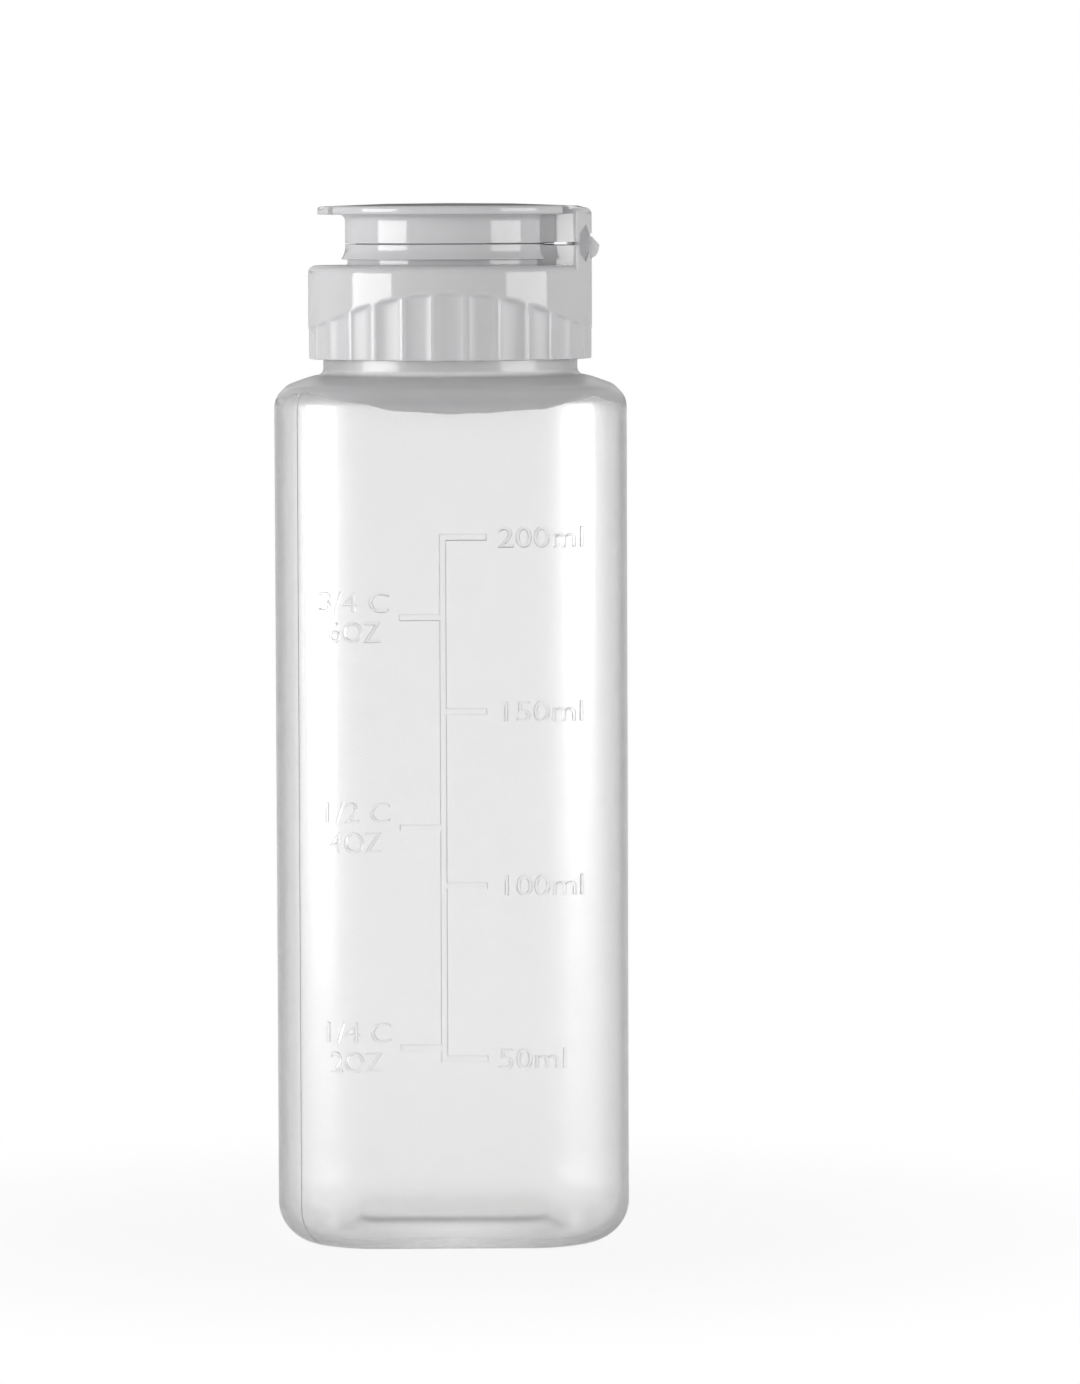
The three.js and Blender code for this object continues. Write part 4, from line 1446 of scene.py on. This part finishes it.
camera_data = bpy.data.cameras.new("camera")
camera_data.sensor_fit = "VERTICAL"
camera_data.sensor_height = SENSOR_HEIGHT
camera_data.lens = SENSOR_HEIGHT * FOCAL_PIXELS / PHOTO_HEIGHT
camera_data.clip_end = 20
camera = bpy.data.objects.new("camera", camera_data)
camera.location = (0, -DISTANCE, EYE_HEIGHT)
upright = Matrix.Rotation(math.pi / 2 - PITCH_DOWN, 3, "X")
facing = Matrix.Rotation(-TURN_RIGHT, 3, "Z") @ upright @ Matrix.Rotation(ROLL, 3, "Z")
camera.rotation_euler = facing.to_euler()
print("camera at", [round(v, 3) for v in camera.location], "lens", round(camera_data.lens, 1))
bpy.context.scene.collection.objects.link(camera)
bpy.context.scene.camera = camera

# %% [markdown]
# White plastic needs two soft boxes at the sides, which draw the bright rectangles on the cap. A picture of
# a studio could light the bottle instead, but two lamps can be placed one by one: their size and place are
# set so that the rectangles stand on the ring where a photographer's would.


# %% Soft boxes
def soft_box(name, azimuth, distance, width, height, middle, power):
    """An area light that faces the bottle, at an angle in degrees round from the camera's side."""
    data = bpy.data.lights.new(name, "AREA")
    data.shape = "RECTANGLE"
    data.size = width
    data.size_y = height
    data.energy = power
    lamp = bpy.data.objects.new(name, data)
    turn = math.radians(azimuth)
    lamp.location = (distance * math.sin(turn), -distance * math.cos(turn), middle)
    aim = Vector((-lamp.location.x, -lamp.location.y, 0))
    lamp.rotation_euler = aim.to_track_quat("-Z", "Y").to_euler()
    bpy.context.scene.collection.objects.link(lamp)
    print(name, "watts", power, "size", width, "by", height)


soft_box("left_box", azimuth=-66.5, distance=0.9, width=0.6, height=0.38, middle=0.17, power=5.2)
soft_box("right_box", azimuth=65, distance=0.9, width=0.62, height=0.42, middle=0.24, power=3.7)

# %% [markdown]
# White paper lies under the bottle and hangs behind it. The camera and the rays that pass through the
# plastic see it plain white, and gloss sees it dimmer, while to the sides of it the room is darker and gives
# the clear plastic its edges. Near the bottle a little of the lit floor shows, which keeps the shadow.


# %% Ground
def paper(finish, place, start, full):
    """1 where the white paper lies or hangs behind the bottle, and 0 to its sides and in front."""
    aside = along(finish, place, (1, 0, 0))
    behind = along(finish, place, (0, 1, 0)) - 2.0 * aside.math("ABSOLUTE", aside)
    return ramp(behind, start, full)


def ground_finish():
    """White paper: lit where the bottle stands on it, and plain white further off."""
    finish = Finish(bpy.data.materials.new("ground"))
    place = finish.add("ShaderNodeTexCoord")["Object"]
    reach = finish.add("ShaderNodeVectorMath", {"operation": "LENGTH"}, {0: place})["Value"]
    soft = noise(finish, 3, 1.0)
    sockets = {"Base Color": (0.9, 0.9, 0.9, 1), "Roughness": 0.6 + 0.1 * soft}
    shader = finish.add("ShaderNodeBsdfPrincipled", {}, sockets)
    glow = finish.add("ShaderNodeEmission", {}, {"Color": (1, 1, 1, 1), "Strength": 1.0})
    path = finish.add("ShaderNodeLightPath")
    white = largest(path["Is Transmission Ray"], 0.4 * path["Is Glossy Ray"])
    white = white * paper(finish, place, -0.07, 0.0)
    seen = path["Is Camera Ray"] * (0.88 + 0.12 * ramp(reach, 0.03, 0.12))
    share = largest(seen, white * (0.9 + 0.1 * ramp(reach, 0.05, 0.2)))
    mixed = finish.add("ShaderNodeMixShader", {}, {0: share, 1: shader["BSDF"], 2: glow["Emission"]})
    return finish.surface(mixed["Shader"])


FLOOR_HALF = 6
floor_mesh = bmesh.new()
bmesh.ops.create_grid(floor_mesh, x_segments=1, y_segments=1, size=FLOOR_HALF)
floor = as_object("floor", floor_mesh)
floor.data.materials.append(ground_finish())
floor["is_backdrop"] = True
print("floor", [round(side, 1) for side in floor.dimensions])

# %% [markdown]
# The room itself is a plain grey that fills the shadows: a little lighter on the left and behind, darker
# overhead, and with a dark strip low down behind the bottle, which shows at the foot of gloss. One picture
# of a studio could light it too, but plain ramps are easier to tune.


# %% World
def studio_world():
    """A dim room, lighter on the left and behind, with white paper and a dark strip behind the bottle."""
    studio = Finish(bpy.data.worlds.new("studio"))
    path = studio.add("ShaderNodeLightPath")
    place = studio.add("ShaderNodeTexCoord")["Generated"]
    up = along(studio, place, (0, 0, 1))
    behind = along(studio, place, (0, 1, 0))
    low_strip = ramp(up, 0.01, 0.04) * ramp(up, 0.12, 0.09) * ramp(behind, 0.7, 0.9)
    level = 0.45 + along(studio, place, (-0.1, 0.09, -0.2)) - 0.42 * low_strip
    room = studio.add("ShaderNodeBackground", {}, {"Color": (1, 1, 1, 1), "Strength": level})
    white = studio.add("ShaderNodeBackground", {}, {"Color": (1, 1, 1, 1), "Strength": 1.0})
    raised = ramp(up, 0.12, 0.16) * ramp(up, 0.36, 0.28)
    hung = largest(path["Is Transmission Ray"], path["Is Glossy Ray"] * raised)
    seen = largest(path["Is Camera Ray"], hung * paper(studio, place, 0.0, 0.25))
    mixed = studio.add("ShaderNodeMixShader", {}, {0: seen, 1: room["Background"], 2: white["Background"]})
    bpy.context.scene.world = studio.surface(mixed["Shader"], None, "ShaderNodeOutputWorld")


studio_world()
print("world nodes", len(bpy.context.scene.world.node_tree.nodes))
bpy.context.scene.view_settings.view_transform = "Standard"

# %% [markdown]
# ## Closing
# The dressed model has to stay in the solids' box, so its box is printed, as the solids' box was at the
# start.

# %% Bounds and finish
dressed_bounds = corners(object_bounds())
print("dressed box, mm:", [[round(v / MM, 2) for v in corner] for corner in dressed_bounds])
